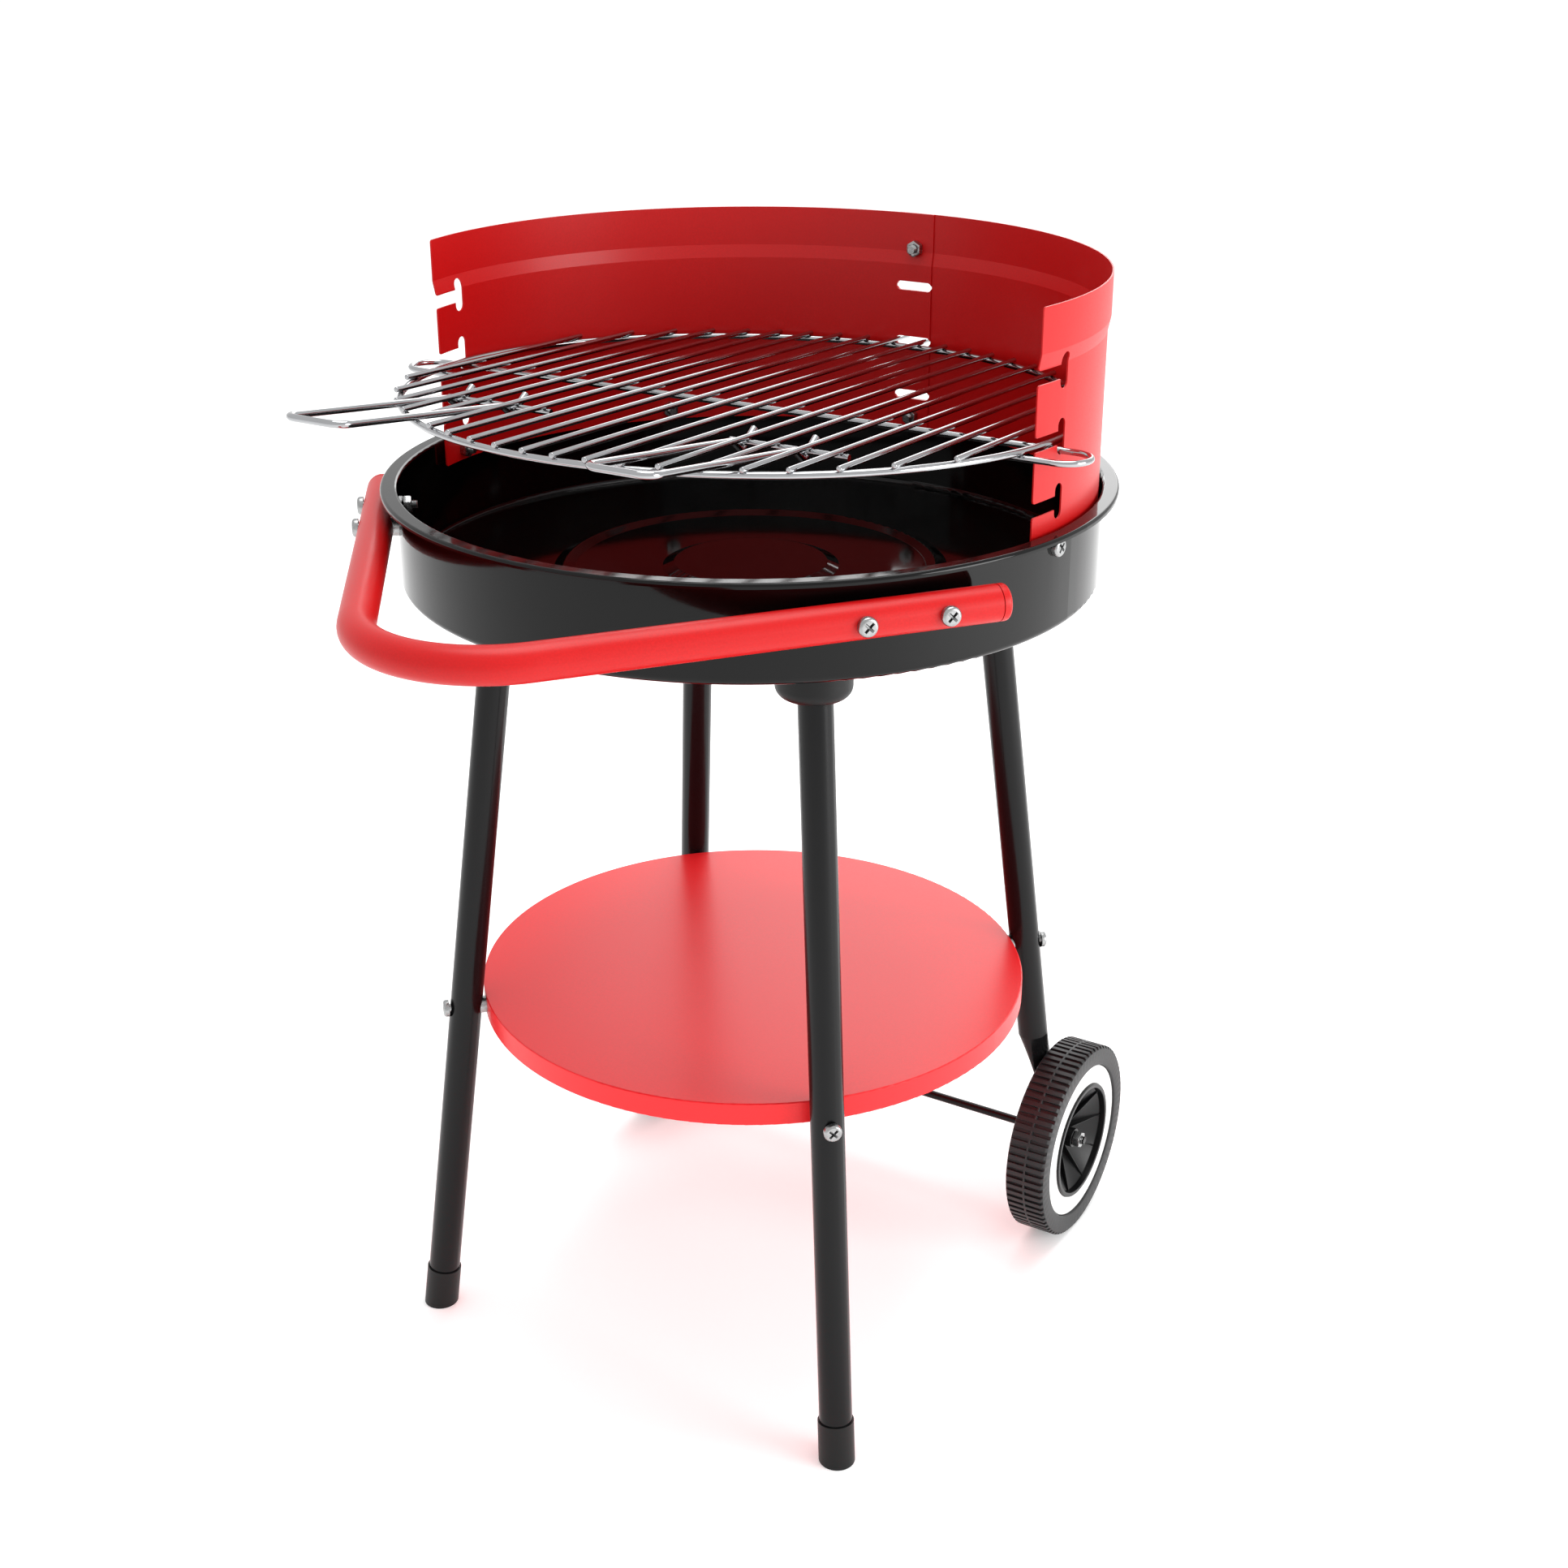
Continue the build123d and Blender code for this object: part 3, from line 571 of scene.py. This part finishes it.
def chromed_wire(name, colours):
    # Bright nickel and chrome on drawn wire: a mirror with hair-fine draw lines that blur it a little.
    tree, place, surface = new_finish(name)
    colour = linear(colours.chrome)
    lines = add(tree, "ShaderNodeTexNoise", {"Vector": place, "Scale": per_metre(1.6), "Detail": 3.0})
    haze = add(tree, "ShaderNodeTexNoise", {"Vector": place, "Scale": per_metre(25), "Detail": 2.0})
    tint = add(tree, "ShaderNodeMix", {
        FACTOR: haze.outputs["Fac"], ONE: shade(colour, 0.9), OTHER: colour}, data_type="RGBA")
    gloss = add(tree, "ShaderNodeMapRange", {"Value": lines.outputs["Fac"], "To Min": 0.07, "To Max": 0.17})
    bump = add(tree, "ShaderNodeBump", {
        "Height": lines.outputs["Fac"], "Strength": 0.12, "Distance": 0.03 * MM})
    feed(tree, surface, {
        "Base Color": tint.outputs[MIXED], "Metallic": 1.0, "Roughness": gloss.outputs["Result"],
        "Normal": bump.outputs["Normal"]})


def zinc_plate(name, colours):
    # Bright zinc on steel: pale and slightly milky, with a crystal mottle and fine tumbling scratches.
    tree, place, surface = new_finish(name)
    colour = linear(colours.zinc)
    mottle = add(tree, "ShaderNodeTexVoronoi", {"Vector": place, "Scale": per_metre(1.8)})
    scratch = add(tree, "ShaderNodeTexNoise", {
        "Vector": place, "Scale": per_metre(0.8), "Detail": 4.0, "Distortion": 1.0})
    tint = add(tree, "ShaderNodeMix", {
        FACTOR: mottle.outputs["Distance"], ONE: colour, OTHER: shade(colour, 0.82)}, data_type="RGBA")
    gloss = add(tree, "ShaderNodeMapRange", {"Value": scratch.outputs["Fac"], "To Min": 0.2, "To Max": 0.36})
    bump = add(tree, "ShaderNodeBump", {
        "Height": scratch.outputs["Fac"], "Strength": 0.2, "Distance": 0.03 * MM})
    feed(tree, surface, {
        "Base Color": tint.outputs[MIXED], "Metallic": 1.0, "Roughness": gloss.outputs["Result"],
        "Normal": bump.outputs["Normal"]})


class Finish:
    """A material's name and the function that makes it."""

    def __init__(self, title, make):
        self.title = title
        self.make = make


FINISHES = {
    "red_powder_coat": Finish("Polyester powder coat, red", red_powder_coat),
    "red_lacquered_board": Finish("Lacquered particle board, red", lacquered_board),
    "black_vitreous_enamel": Finish("Vitreous enamel, black", vitreous_enamel),
    "black_gloss_tube_paint": Finish("Stoved gloss paint on tube", stoved_paint),
    "black_steel_rod": Finish("Stoved gloss paint on rod", stoved_paint),
    "black_polyamide": Finish("Moulded polyamide, black", polyamide),
    "charcoal_tyre_plastic": Finish("Blown polyethylene, charcoal", tyre_plastic),
    "black_hub_plastic": Finish("Moulded polypropylene, black", hub_plastic),
    "white_ring_plastic": Finish("Moulded polystyrene, white", ring_plastic),
    "chrome_wire": Finish("Chromed drawn wire", chromed_wire),
    "zinc_plated_steel": Finish("Bright zinc plate", zinc_plate),
}


class GRILL_OT_finishes(bpy.types.Operator):
    """Makes every finish and gives it to the pieces of the frame"""

    bl_idname = "grill.finishes"
    bl_label = "Finishes"

    def execute(self, context):
        for finish in FINISHES.values():
            finish.make(finish.title, context.scene.grill_finish)
        for name, piece in frame["nodes"].items():
            piece.data.materials.clear()
            piece.data.materials.append(bpy.data.materials[FINISHES[SLOT_OF[name]].title])
        return {"FINISHED"}


# ---- wheels ------------------------------------------------------------------------------------
LUG_STEPS = 9              # facets in one pitch of the tread
LUG_FACETS = 5             # facets of those that make the lug
LUG_ROUND = 0.22 * MM
TYRE_BEAD = 0.8 * MM       # rounding where the sidewall meets the trim ring
RING_CROWN = 0.5 * MM      # middle of a trim ring above its edges
RING_JOINT = 0.4 * MM      # dark gap between a trim ring and the tyre
RING_ROUND = 0.3 * MM
RING_STEPS = 8             # facets across the crown of a ring
RING_FACETS = 128          # facets round it
HUB_WALL = 2.5 * MM
HUB_ROUND = 0.45 * MM
HUB_FACETS = 120
BOSS_FOOT = 6.5 * MM       # where the dish meets the boss, from the inner side
RIB_AT_BOSS = 12.5 * MM    # top of a rib at the boss, from the inner side
RIB_RECESS = 3.5 * MM      # outer end of a rib below the lip
RIB_ROUND = 0.3 * MM
SEAM = MM / 10             # a corner this close to a face of the wheel belongs to it


def wheel_place():
    """Middle of the right wheel's inner side, its width and its radius."""
    low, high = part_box("tyre_right")
    centre = Vector((low.x, (low.y + high.y) / 2, (low.z + high.z) / 2))
    return centre, high.x - low.x, (high.z - low.z) / 2


def rim_radius():
    low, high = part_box("trim_ring_right")
    return (high.z - low.z) / 2


def lip_radius():
    """Inside of the trim ring, where the hub's lip stands."""
    axis = wheel_place()[0]
    return min((point - axis).yz.length for points in solids("trim_ring_right") for point in points)


class GRILL_OT_tyres(bpy.types.Operator):
    """Models the blown tyres with their cut tread"""

    bl_idname = "grill.tyres"
    bl_label = "Tyres"

    def execute(self, context):
        sizes = context.scene.grill_wheel
        inner_side, width, outer = wheel_place()
        middle = inner_side + Vector((width / 2, 0, 0))
        base = outer - sizes.tread_depth
        segments = sizes.lug_count * LUG_STEPS
        fresh()
        bpy.ops.mesh.primitive_cylinder_add(
            vertices=segments, radius=base, depth=width, end_fill_type="NOTHING",
            location=middle, rotation=(0, math.pi / 2, 0))
        tyre = name_it("blown_tyre_right")
        settle()
        edit()
        for side in (-1, 1):
            bpy.ops.mesh.select_all(action="SELECT")
            cut = middle + Vector((side * sizes.rib_width / 2, 0, 0))
            bpy.ops.mesh.bisect(plane_co=cut, plane_no=(1, 0, 0))

        def is_raised(face):
            spot = face.calc_center_median() - middle
            turn = math.atan2(spot.z, spot.y) / FULL_TURN * segments
            return abs(spot.x) < sizes.rib_width / 2 or math.floor(turn) % LUG_STEPS < LUG_FACETS

        pick(tyre, is_raised, "FACE")
        bpy.ops.mesh.extrude_region_move()
        bpy.ops.transform.resize(value=(1, outer / base, outer / base), center_override=middle)
        for side in (-1, 1):
            pick(tyre, lambda corner: side * (corner.co.x - middle.x) > width / 2 - SEAM
                 and (corner.co - middle).yz.length > outer - SEAM)
            bpy.ops.transform.translate(value=(-side * sizes.shoulder, 0, 0))
        self.close_sides(tyre, middle, width, base)
        soften(tyre, LUG_ROUND, segments=1)
        hand_over(tyre, "tyre_right")
        hand_over(mirrored(tyre, "blown_tyre_left"), "tyre_left")
        return {"FINISHED"}

    def close_sides(self, tyre, middle, width, base):
        """Draws both open edges in to the rim, with a rounded bead, and joins them there."""
        rim = rim_radius()
        for side in (-1, 1):
            pick(tyre, lambda edge: edge.is_boundary and all(
                side * (corner.co.x - middle.x) > width / 2 - SEAM for corner in edge.verts), "EDGE")
            radius = base
            for next_radius, inward in ((rim + TYRE_BEAD, 0), (rim, TYRE_BEAD)):
                bpy.ops.mesh.extrude_region_move()
                scale = next_radius / radius
                bpy.ops.transform.resize(value=(1, scale, scale), center_override=middle)
                bpy.ops.transform.translate(value=(-side * inward, 0, 0))
                radius = next_radius
        pick(tyre, lambda edge: edge.is_boundary, "EDGE")
        bpy.ops.mesh.bridge_edge_loops()
        close_up(tyre)


class GRILL_OT_trim_rings(bpy.types.Operator):
    """Models the white rings round the hubs, slightly crowned"""

    bl_idname = "grill.trim_rings"
    bl_label = "Trim rings"

    def execute(self, context):
        centre = wheel_place()[0]
        low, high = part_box("trim_ring_right")
        rim = rim_radius() - RING_JOINT
        lip = lip_radius()
        bottom = low.x - centre.x
        top = high.x - centre.x
        outline = [(bottom, lip), (bottom, rim), (top - 3 * RING_CROWN, rim)]
        for step in range(RING_STEPS + 1):
            share = step / RING_STEPS
            rise = RING_CROWN * (1 - (2 * share - 1) ** 2)
            outline.append((top - RING_CROWN + rise, rim - RING_CROWN - (rim - lip - 2 * RING_CROWN) * share))
        outline.append((top - 3 * RING_CROWN, lip))
        ring = turn_line("moulded_ring_right", outline, centre, RING_FACETS)
        soften(ring, RING_ROUND)
        hand_over(ring, "trim_ring_right")
        hand_over(mirrored(ring, "moulded_ring_left"), "trim_ring_left")
        return {"FINISHED"}


class GRILL_OT_hubs(bpy.types.Operator):
    """Models the dished hubs with their lip, boss and thin ribs"""

    bl_idname = "grill.hubs"
    bl_label = "Hubs"

    def execute(self, context):
        sizes = context.scene.grill_wheel
        centre, width, _ = wheel_place()
        low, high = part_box("axle")
        bore = (high.z - low.z) / 2
        ring_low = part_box("trim_ring_right")[0].x - centre.x
        rim = rim_radius()
        lip_outer = lip_radius()
        lip_inner = lip_outer - sizes.lip_width
        boss = sizes.boss_radius
        dish = ring_low - HUB_WALL
        outline = [
            (0, bore), (0, boss + HUB_WALL), (HUB_WALL, boss + HUB_WALL), (dish, lip_inner),
            (dish, rim - HUB_WALL), (HUB_WALL, rim - HUB_WALL), (HUB_WALL, rim), (ring_low, rim),
            (ring_low, lip_outer), (width, lip_outer), (width, lip_inner), (ring_low, lip_inner),
            (BOSS_FOOT, boss + MM), (BOSS_FOOT + MM, boss), (sizes.boss_rise, boss), (sizes.boss_rise, bore),
        ]
        hub = turn_line("moulded_hub_right", outline, centre, HUB_FACETS)
        soften(hub, HUB_ROUND, segments=3)
        rib_outline = [
            (BOSS_FOOT - MM, boss - MM), (dish, lip_inner + MM),
            (width - RIB_RECESS, lip_inner + MM), (RIB_AT_BOSS, boss - MM),
        ]
        near = -sizes.spoke_thickness / 2
        rib = draw_line("rib", [centre + Vector((along, near, radius)) for along, radius in rib_outline])
        bpy.ops.mesh.select_all(action="SELECT")
        bpy.ops.mesh.edge_face_add()
        bpy.ops.mesh.extrude_region_move(TRANSFORM_OT_translate={"value": (0, sizes.spoke_thickness, 0)})
        close_up(rib)
        soften(rib, RIB_ROUND)
        ribs = []
        for number in range(sizes.spoke_count):
            turn = Matrix.Rotation(FULL_TURN * (number + 0.5) / sizes.spoke_count, 4, "X")
            ribs.append(copy_to(rib, Matrix.Translation(centre) @ turn @ Matrix.Translation(-centre), "rib"))
        scrap(rib)
        hub = join([hub] + ribs, "moulded_hub_right")
        hand_over(hub, "hub_right")
        hand_over(mirrored(hub, "moulded_hub_left"), "hub_left")
        return {"FINISHED"}


# ---- fasteners ---------------------------------------------------------------------------------
THREAD_DEPTH = 0.6         # of the pitch
THREAD_STEPS = 20          # facets in one turn
THREAD_LEAD = 1.025        # pitches below the lower cut, so that no corner of the thread lies on it
HEAD_ROUNDING = 0.5        # of the head's height
RECESS_DEPTH = 0.75        # of the head's height
RECESS_TAPER = 0.45        # bottom of the recess to its mouth
CUTTER_EXTRA = 1.1         # the cutter stands out of the head
SHANK_PLAY = 0.05 * MM     # plain shank inside the bolt's size
THREAD_BITE = 0.1 * MM     # threads reach that far into a nut
NUT_CROWN = 0.9            # of the corners, rounded off
NUT_ROUND = 0.2 * MM
BORE_REACH = 1.5           # nut heights from a nut's lower face to either end of its bore's cutter
AXLE_NUT_FLATS = 11.1 * MM
AXLE_THREAD_RISE = 0.12 * MM   # crests above the plain axle
AXLE_ROOT = 0.25 * MM          # core below it
AXLE_THREAD_START = 0.3 * MM   # inside the nut
AXLE_THREAD_END = 0.6 * MM     # below the tip
TIP_RIM = 0.8 * MM             # round the dimple in the tip
TIP_DIMPLE = 1.2 * MM          # its depth
TIP_TAPER = 0.8                # its bottom to its mouth
TIP_ROUND = 0.15 * MM


def threaded_end(radius, pitch, bottom, top):
    """A screw thread between two heights, closed at both ends, about Z."""
    root = radius - THREAD_DEPTH * pitch
    low = bottom - THREAD_LEAD * pitch
    piece = draw_line("thread", [(root, 0, low), (radius, 0, low + pitch / 2), (root, 0, low + pitch)])
    leave_edit()
    settle()
    turns = int((top - bottom) / pitch) + 2
    modify(piece, "SCREW", axis="Z", screw_offset=pitch, iterations=turns, steps=THREAD_STEPS,
           render_steps=THREAD_STEPS, use_merge_vertices=True)
    edit()
    for height, side in ((bottom, -1), (top, 1)):
        bpy.ops.mesh.select_all(action="SELECT")
        bpy.ops.mesh.bisect(plane_co=(0, 0, height), plane_no=(0, 0, side), use_fill=True, clear_outer=True)
    close_up(piece)
    return piece


def pan_bolt(sizes, length):
    """Pan-head bolt with a cross recess, its head seated on the origin and its shank down."""
    head = cylinder("pan_head", facets=40, radius=sizes.head_width / 2, bottom=0, top=sizes.head_height)
    round_top(head, sizes.head_height, sizes.head_height * HEAD_ROUNDING)
    leave_edit()
    depth = sizes.head_height * RECESS_DEPTH
    for turn in (1, 3):
        fresh()
        bpy.ops.mesh.primitive_cube_add(size=1, location=(0, 0, sizes.head_height - depth / 2))
        cutter = name_it("recess")
        cutter.scale = (sizes.recess_span, sizes.recess_width, depth * CUTTER_EXTRA)
        cutter.rotation_euler = (0, 0, turn * math.pi / 4)
        settle()
        edit()
        pick(cutter, lambda face: face.normal.z < -NEARLY, "FACE")
        bpy.ops.transform.resize(value=(RECESS_TAPER, RECESS_TAPER, 1), center_override=(0, 0, 0))
        leave_edit()
        modify(head, "BOOLEAN", object=cutter, operation="DIFFERENCE", solver="EXACT")
        scrap(cutter)
    thread_top = min(sizes.thread_length - length, -MM)
    shank = cylinder("shank", facets=24, radius=sizes.shank / 2 - SHANK_PLAY, bottom=thread_top, top=0)
    thread = threaded_end(sizes.shank / 2, sizes.thread_pitch, -length, thread_top)
    return join([head, shank, thread], "bolt")


def hex_nut(flats, height, bore):
    """Hexagon nut with chamfered corners, standing on z = 0."""
    corner = flats / math.sqrt(3)
    nut = cylinder("nut", facets=6, radius=corner, bottom=0, top=height)
    crown = cylinder("crown", facets=48, radius=corner, bottom=0, top=height)
    soften(crown, (corner - flats / 2) * NUT_CROWN, segments=3, angle=60)
    modify(nut, "BOOLEAN", object=crown, operation="INTERSECT", solver="EXACT")
    hole = cylinder("hole", facets=32, radius=bore, bottom=-BORE_REACH * height,
                    top=BORE_REACH * height)
    modify(nut, "BOOLEAN", object=hole, operation="DIFFERENCE", solver="EXACT")
    scrap(crown, hole)
    soften(nut, NUT_ROUND, segments=2)
    return nut


def seat_of(node, points):
    """Outward direction of a bolt or nut."""
    if node.startswith("handle"):
        return arm_directions(1 if points[0].x > 0 else -1)[1]
    if node.startswith("socket"):
        middle = middle_of(points) - BOWL_AXIS
        leg = Vector((math.copysign(1, middle.x), math.copysign(1, middle.y), 0))
        return -leg.normalized()
    return outwards(points)


class GRILL_OT_bolts(bpy.types.Operator):
    """Models the pan-head bolts and screws"""

    bl_idname = "grill.bolts"
    bl_label = "Bolts"

    def execute(self, context):
        sizes = context.scene.grill_fastener
        for node in ("windshield_bolts", "seam_bolt", "handle_bolts", "shelf_screws", "socket_screws"):
            patterns = {}
            made = []
            for points in solids(node):
                out = seat_of(node, points)
                turn, middle, low, high = lying(points, out)
                length = round((high - low - sizes.head_height) / MM, 1)
                if length not in patterns:
                    patterns[length] = pan_bolt(sizes, length * MM)
                seat = placed(turn, middle, out, high - sizes.head_height)
                made.append(copy_to(patterns[length], seat, "bolt"))
            scrap(*patterns.values())
            hand_over(join(made, node.replace("bolt", "pan_bolt").replace("screw", "pan_screw")), node)
        return {"FINISHED"}


class GRILL_OT_nuts(bpy.types.Operator):
    """Models the hexagon nuts inside the bowl and behind the seam"""

    bl_idname = "grill.nuts"
    bl_label = "Nuts"

    def execute(self, context):
        sizes = context.scene.grill_fastener
        pattern = hex_nut(sizes.nut_flats, sizes.nut_height, sizes.shank / 2 - THREAD_BITE)
        for node in ("windshield_nuts", "seam_nut", "handle_nuts"):
            made = []
            for points in solids(node):
                out = seat_of(node, points)
                turn, middle, low, _ = lying(points, out)
                made.append(copy_to(pattern, placed(turn, middle, out, low), "nut"))
            hand_over(join(made, node.replace("nut", "hex_nut")), node)
        scrap(pattern)
        return {"FINISHED"}


class GRILL_OT_axle_ends(bpy.types.Operator):
    """Models the axle nuts with the bright threaded ends of the axle"""

    bl_idname = "grill.axle_ends"
    bl_label = "Axle ends"

    def execute(self, context):
        sizes = context.scene.grill_fastener
        axle_low, axle_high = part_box("axle")
        radius = (axle_high.z - axle_low.z) / 2
        right = [points for points in solids("axle_nuts") if points[0].x > 0][0]
        out = Vector((1, 0, 0))
        turn, middle, low, high = lying(right, out)
        nut = hex_nut(AXLE_NUT_FLATS, high - low, radius)
        tail = axle_high.x - low
        thread = threaded_end(radius + AXLE_THREAD_RISE, sizes.thread_pitch, -AXLE_THREAD_START,
                              tail - AXLE_THREAD_END)
        tip = cylinder("tip", facets=32, radius=radius - AXLE_ROOT, bottom=0, top=tail)
        edit()
        pick(tip, lambda face: face.normal.z > NEARLY, "FACE")
        bpy.ops.mesh.inset(thickness=TIP_RIM)
        bpy.ops.mesh.extrude_region_move(TRANSFORM_OT_translate={"value": (0, 0, -TIP_DIMPLE)})
        bpy.ops.transform.resize(value=(TIP_TAPER, TIP_TAPER, 1))
        leave_edit()
        soften(tip, TIP_ROUND)
        pattern = join([nut, thread, tip], "axle_end")
        end = copy_to(pattern, placed(turn, middle, out, low), "axle_end")
        other = mirrored(end, "axle_end")
        scrap(pattern)
        hand_over(join([end, other], "axle_hex_nuts"), "axle_nuts")
        return {"FINISHED"}


# ---- grate and handle --------------------------------------------------------------------------
BAR_END = 10 * MM          # corners this close to the tip belong to a bar's end
BAR_ROUNDING = 0.3         # of a bar's radius
CAP_LENGTH = 6 * MM        # part of a handle cap outside the tube
CAP_ROUND = 2.5 * MM
CAP_PLUG = 12 * MM         # part of it inside the tube
CAP_JOINT = 0.6 * MM       # dark line between the cap and the tube


class GRILL_OT_grate_bars(bpy.types.Operator):
    """Models the grate's bars with their cropped, slightly rounded ends"""

    bl_idname = "grill.grate_bars"
    bl_label = "Grate bars"

    def execute(self, context):
        bars = []
        for points in solids("grate_bars"):
            front = min(points, key=lambda point: point.y)
            back = max(points, key=lambda point: point.y)
            near = [point for point in points if (point - front).length < BAR_END]
            far = [point for point in points if (point - back).length < BAR_END]
            start = sum(near, Vector()) / len(near)
            end = sum(far, Vector()) / len(far)
            radius = max((point - start).length for point in near)
            reach = (end - start).length / 2
            bar = cylinder("bar", facets=20, radius=radius, bottom=-reach, top=reach)
            soften(bar, BAR_ROUNDING * radius, segments=3, angle=60)
            turn = (end - start).to_track_quat("Z", "Y").to_matrix().to_4x4()
            bars.append(copy_to(bar, Matrix.Translation((start + end) / 2) @ turn, "bar"))
            scrap(bar)
        hand_over(join(bars, "chromed_bars"), "grate_bars")
        return {"FINISHED"}


class GRILL_OT_handle_caps(bpy.types.Operator):
    """Models the end caps of the push handle with the fine joint where they meet the tube"""

    bl_idname = "grill.handle_caps"
    bl_label = "Handle caps"

    def execute(self, context):
        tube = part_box("handle_tube")
        radius = (tube[1].z - tube[0].z) / 2
        for name, side in (("right", 1), ("left", -1)):
            along = arm_directions(side)[0]
            turn, middle, _, high = lying(solids(f"handle_cap_{name}")[0], along)
            cap = cylinder("cap", facets=64, radius=radius, bottom=CAP_JOINT, top=CAP_LENGTH)
            round_top(cap, CAP_LENGTH, CAP_ROUND)
            pick(cap, lambda face: face.normal.z < -NEARLY, "FACE")
            bpy.ops.mesh.inset(thickness=2 * CAP_JOINT)
            bpy.ops.mesh.extrude_region_move(TRANSFORM_OT_translate={"value": (0, 0, -CAP_PLUG)})
            leave_edit()
            seat = placed(turn, middle, along, high - CAP_LENGTH)
            made = copy_to(cap, seat, f"tube_plug_{name}")
            scrap(cap)
            hand_over(made, f"handle_cap_{name}")
        return {"FINISHED"}


# ---- studio ------------------------------------------------------------------------------------
# Lamps as (name, azimuth and elevation in degrees, distance and size in metres, watts).
LAMPS = (
    ("Top_softbox", 185, 80, 3.2, 2.4, 55),
    ("Right_softbox", 98, 12, 3.2, 1.8, 62),
    ("Back_softbox", 200, 24, 3.2, 2.0, 22),
)


def round_from(azimuth, elevation):
    """Unit vector from the middle of the grill towards a camera or lamp at those angles."""
    return Vector((math.sin(azimuth) * math.cos(elevation), -math.cos(azimuth) * math.cos(elevation),
                   math.sin(elevation)))


class GRILL_OT_stage(bpy.types.Operator):
    """Sets the floor, the lamps and the camera"""

    bl_idname = "grill.stage"
    bl_label = "Studio"

    def execute(self, context):
        stage = context.scene.grill_stage
        centre = (LOWEST + HIGHEST) / 2
        self.floor(stage)
        self.sky(stage)
        for name, azimuth, elevation, distance, size, watts in LAMPS:
            lamp = bpy.data.lights.new(name, "AREA")
            lamp.shape = "DISK"
            lamp.size = size
            lamp.energy = watts
            back = round_from(math.radians(azimuth), math.radians(elevation))
            self.put(bpy.data.objects.new(name, lamp), centre + back * distance, back)
        lens = bpy.data.cameras.new("Camera")
        lens.lens = stage.lens
        lens.sensor_width = 36.0
        camera = bpy.data.objects.new("Camera", lens)
        aim = centre + Vector((stage.aim_side, stage.aim_back, stage.aim_up))
        back = round_from(stage.azimuth, stage.elevation)
        self.put(camera, aim + back * stage.distance, back)
        context.scene.camera = camera
        context.scene.view_settings.view_transform = "Standard"
        return {"FINISHED"}

    def put(self, thing, place, back):
        """Puts a lamp or the camera there, looking the other way from back."""
        bpy.context.scene.collection.objects.link(thing)
        thing.location = place
        thing.rotation_euler = (-back).to_track_quat("-Z", "Y").to_euler()

    def floor(self, stage):
        fresh()
        bpy.ops.mesh.primitive_circle_add(vertices=96, radius=stage.floor_radius, fill_type="NGON")
        floor = name_it("Floor")
        title = "Matt studio floor, pale"
        tree, place, surface = new_finish(title)
        colour = linear(stage.floor)
        dust = add(tree, "ShaderNodeTexNoise", {"Vector": place, "Scale": per_metre(400), "Detail": 2.0})
        tint = add(tree, "ShaderNodeMix", {
            FACTOR: dust.outputs["Fac"], ONE: shade(colour, 0.995), OTHER: colour}, data_type="RGBA")
        feed(tree, surface, {
            "Base Color": tint.outputs[MIXED], "Roughness": 0.9, "Specular IOR Level": 0.1,
            "Emission Color": colour, "Emission Strength": stage.floor_glow})
        floor.data.materials.append(bpy.data.materials[title])

    def sky(self, stage):
        """Even white light all round."""
        world = bpy.data.worlds.new("Studio")
        world.use_nodes = True
        tree = world.node_tree
        tree.nodes.clear()
        light = add(tree, "ShaderNodeBackground", {"Color": (1.0, 1.0, 1.0, 1.0), "Strength": stage.sky})
        add(tree, "ShaderNodeOutputWorld", {"Surface": light.outputs["Background"]})
        bpy.context.scene.world = world


# ---- panel and registration --------------------------------------------------------------------
OPERATORS = (
    GRILL_OT_finishes,
    GRILL_OT_tyres,
    GRILL_OT_trim_rings,
    GRILL_OT_hubs,
    GRILL_OT_bolts,
    GRILL_OT_nuts,
    GRILL_OT_axle_ends,
    GRILL_OT_grate_bars,
    GRILL_OT_handle_caps,
    GRILL_OT_stage,
)
SETTINGS = {
    "grill_wheel": GrillWheelSettings,
    "grill_fastener": GrillFastenerSettings,
    "grill_finish": GrillFinishSettings,
    "grill_stage": GrillStageSettings,
}


class GRILL_PT_panel(bpy.types.Panel):
    """The grill's settings and pieces in the sidebar"""

    bl_label = "Charcoal grill"
    bl_idname = "GRILL_PT_panel"
    bl_space_type = "VIEW_3D"
    bl_region_type = "UI"
    bl_category = "Grill"

    def draw(self, context):
        for name, group in SETTINGS.items():
            box = self.layout.box()
            for key in group.__annotations__:
                box.prop(getattr(context.scene, name), key)
        for operator in OPERATORS:
            self.layout.operator(operator.bl_idname)


def register():
    for group in SETTINGS.values():
        bpy.utils.register_class(group)
    for name, group in SETTINGS.items():
        setattr(bpy.types.Scene, name, PointerProperty(type=group))
    for operator in OPERATORS:
        bpy.utils.register_class(operator)
    bpy.utils.register_class(GRILL_PT_panel)


def unregister():
    bpy.utils.unregister_class(GRILL_PT_panel)
    for operator in reversed(OPERATORS):
        bpy.utils.unregister_class(operator)
    for name, group in SETTINGS.items():
        delattr(bpy.types.Scene, name)
        bpy.utils.unregister_class(group)


def main():
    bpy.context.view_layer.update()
    register()
    for operator in OPERATORS:
        group, name = operator.bl_idname.split(".")
        getattr(getattr(bpy.ops, group), name)()


if __name__ == "__main__":
    main()
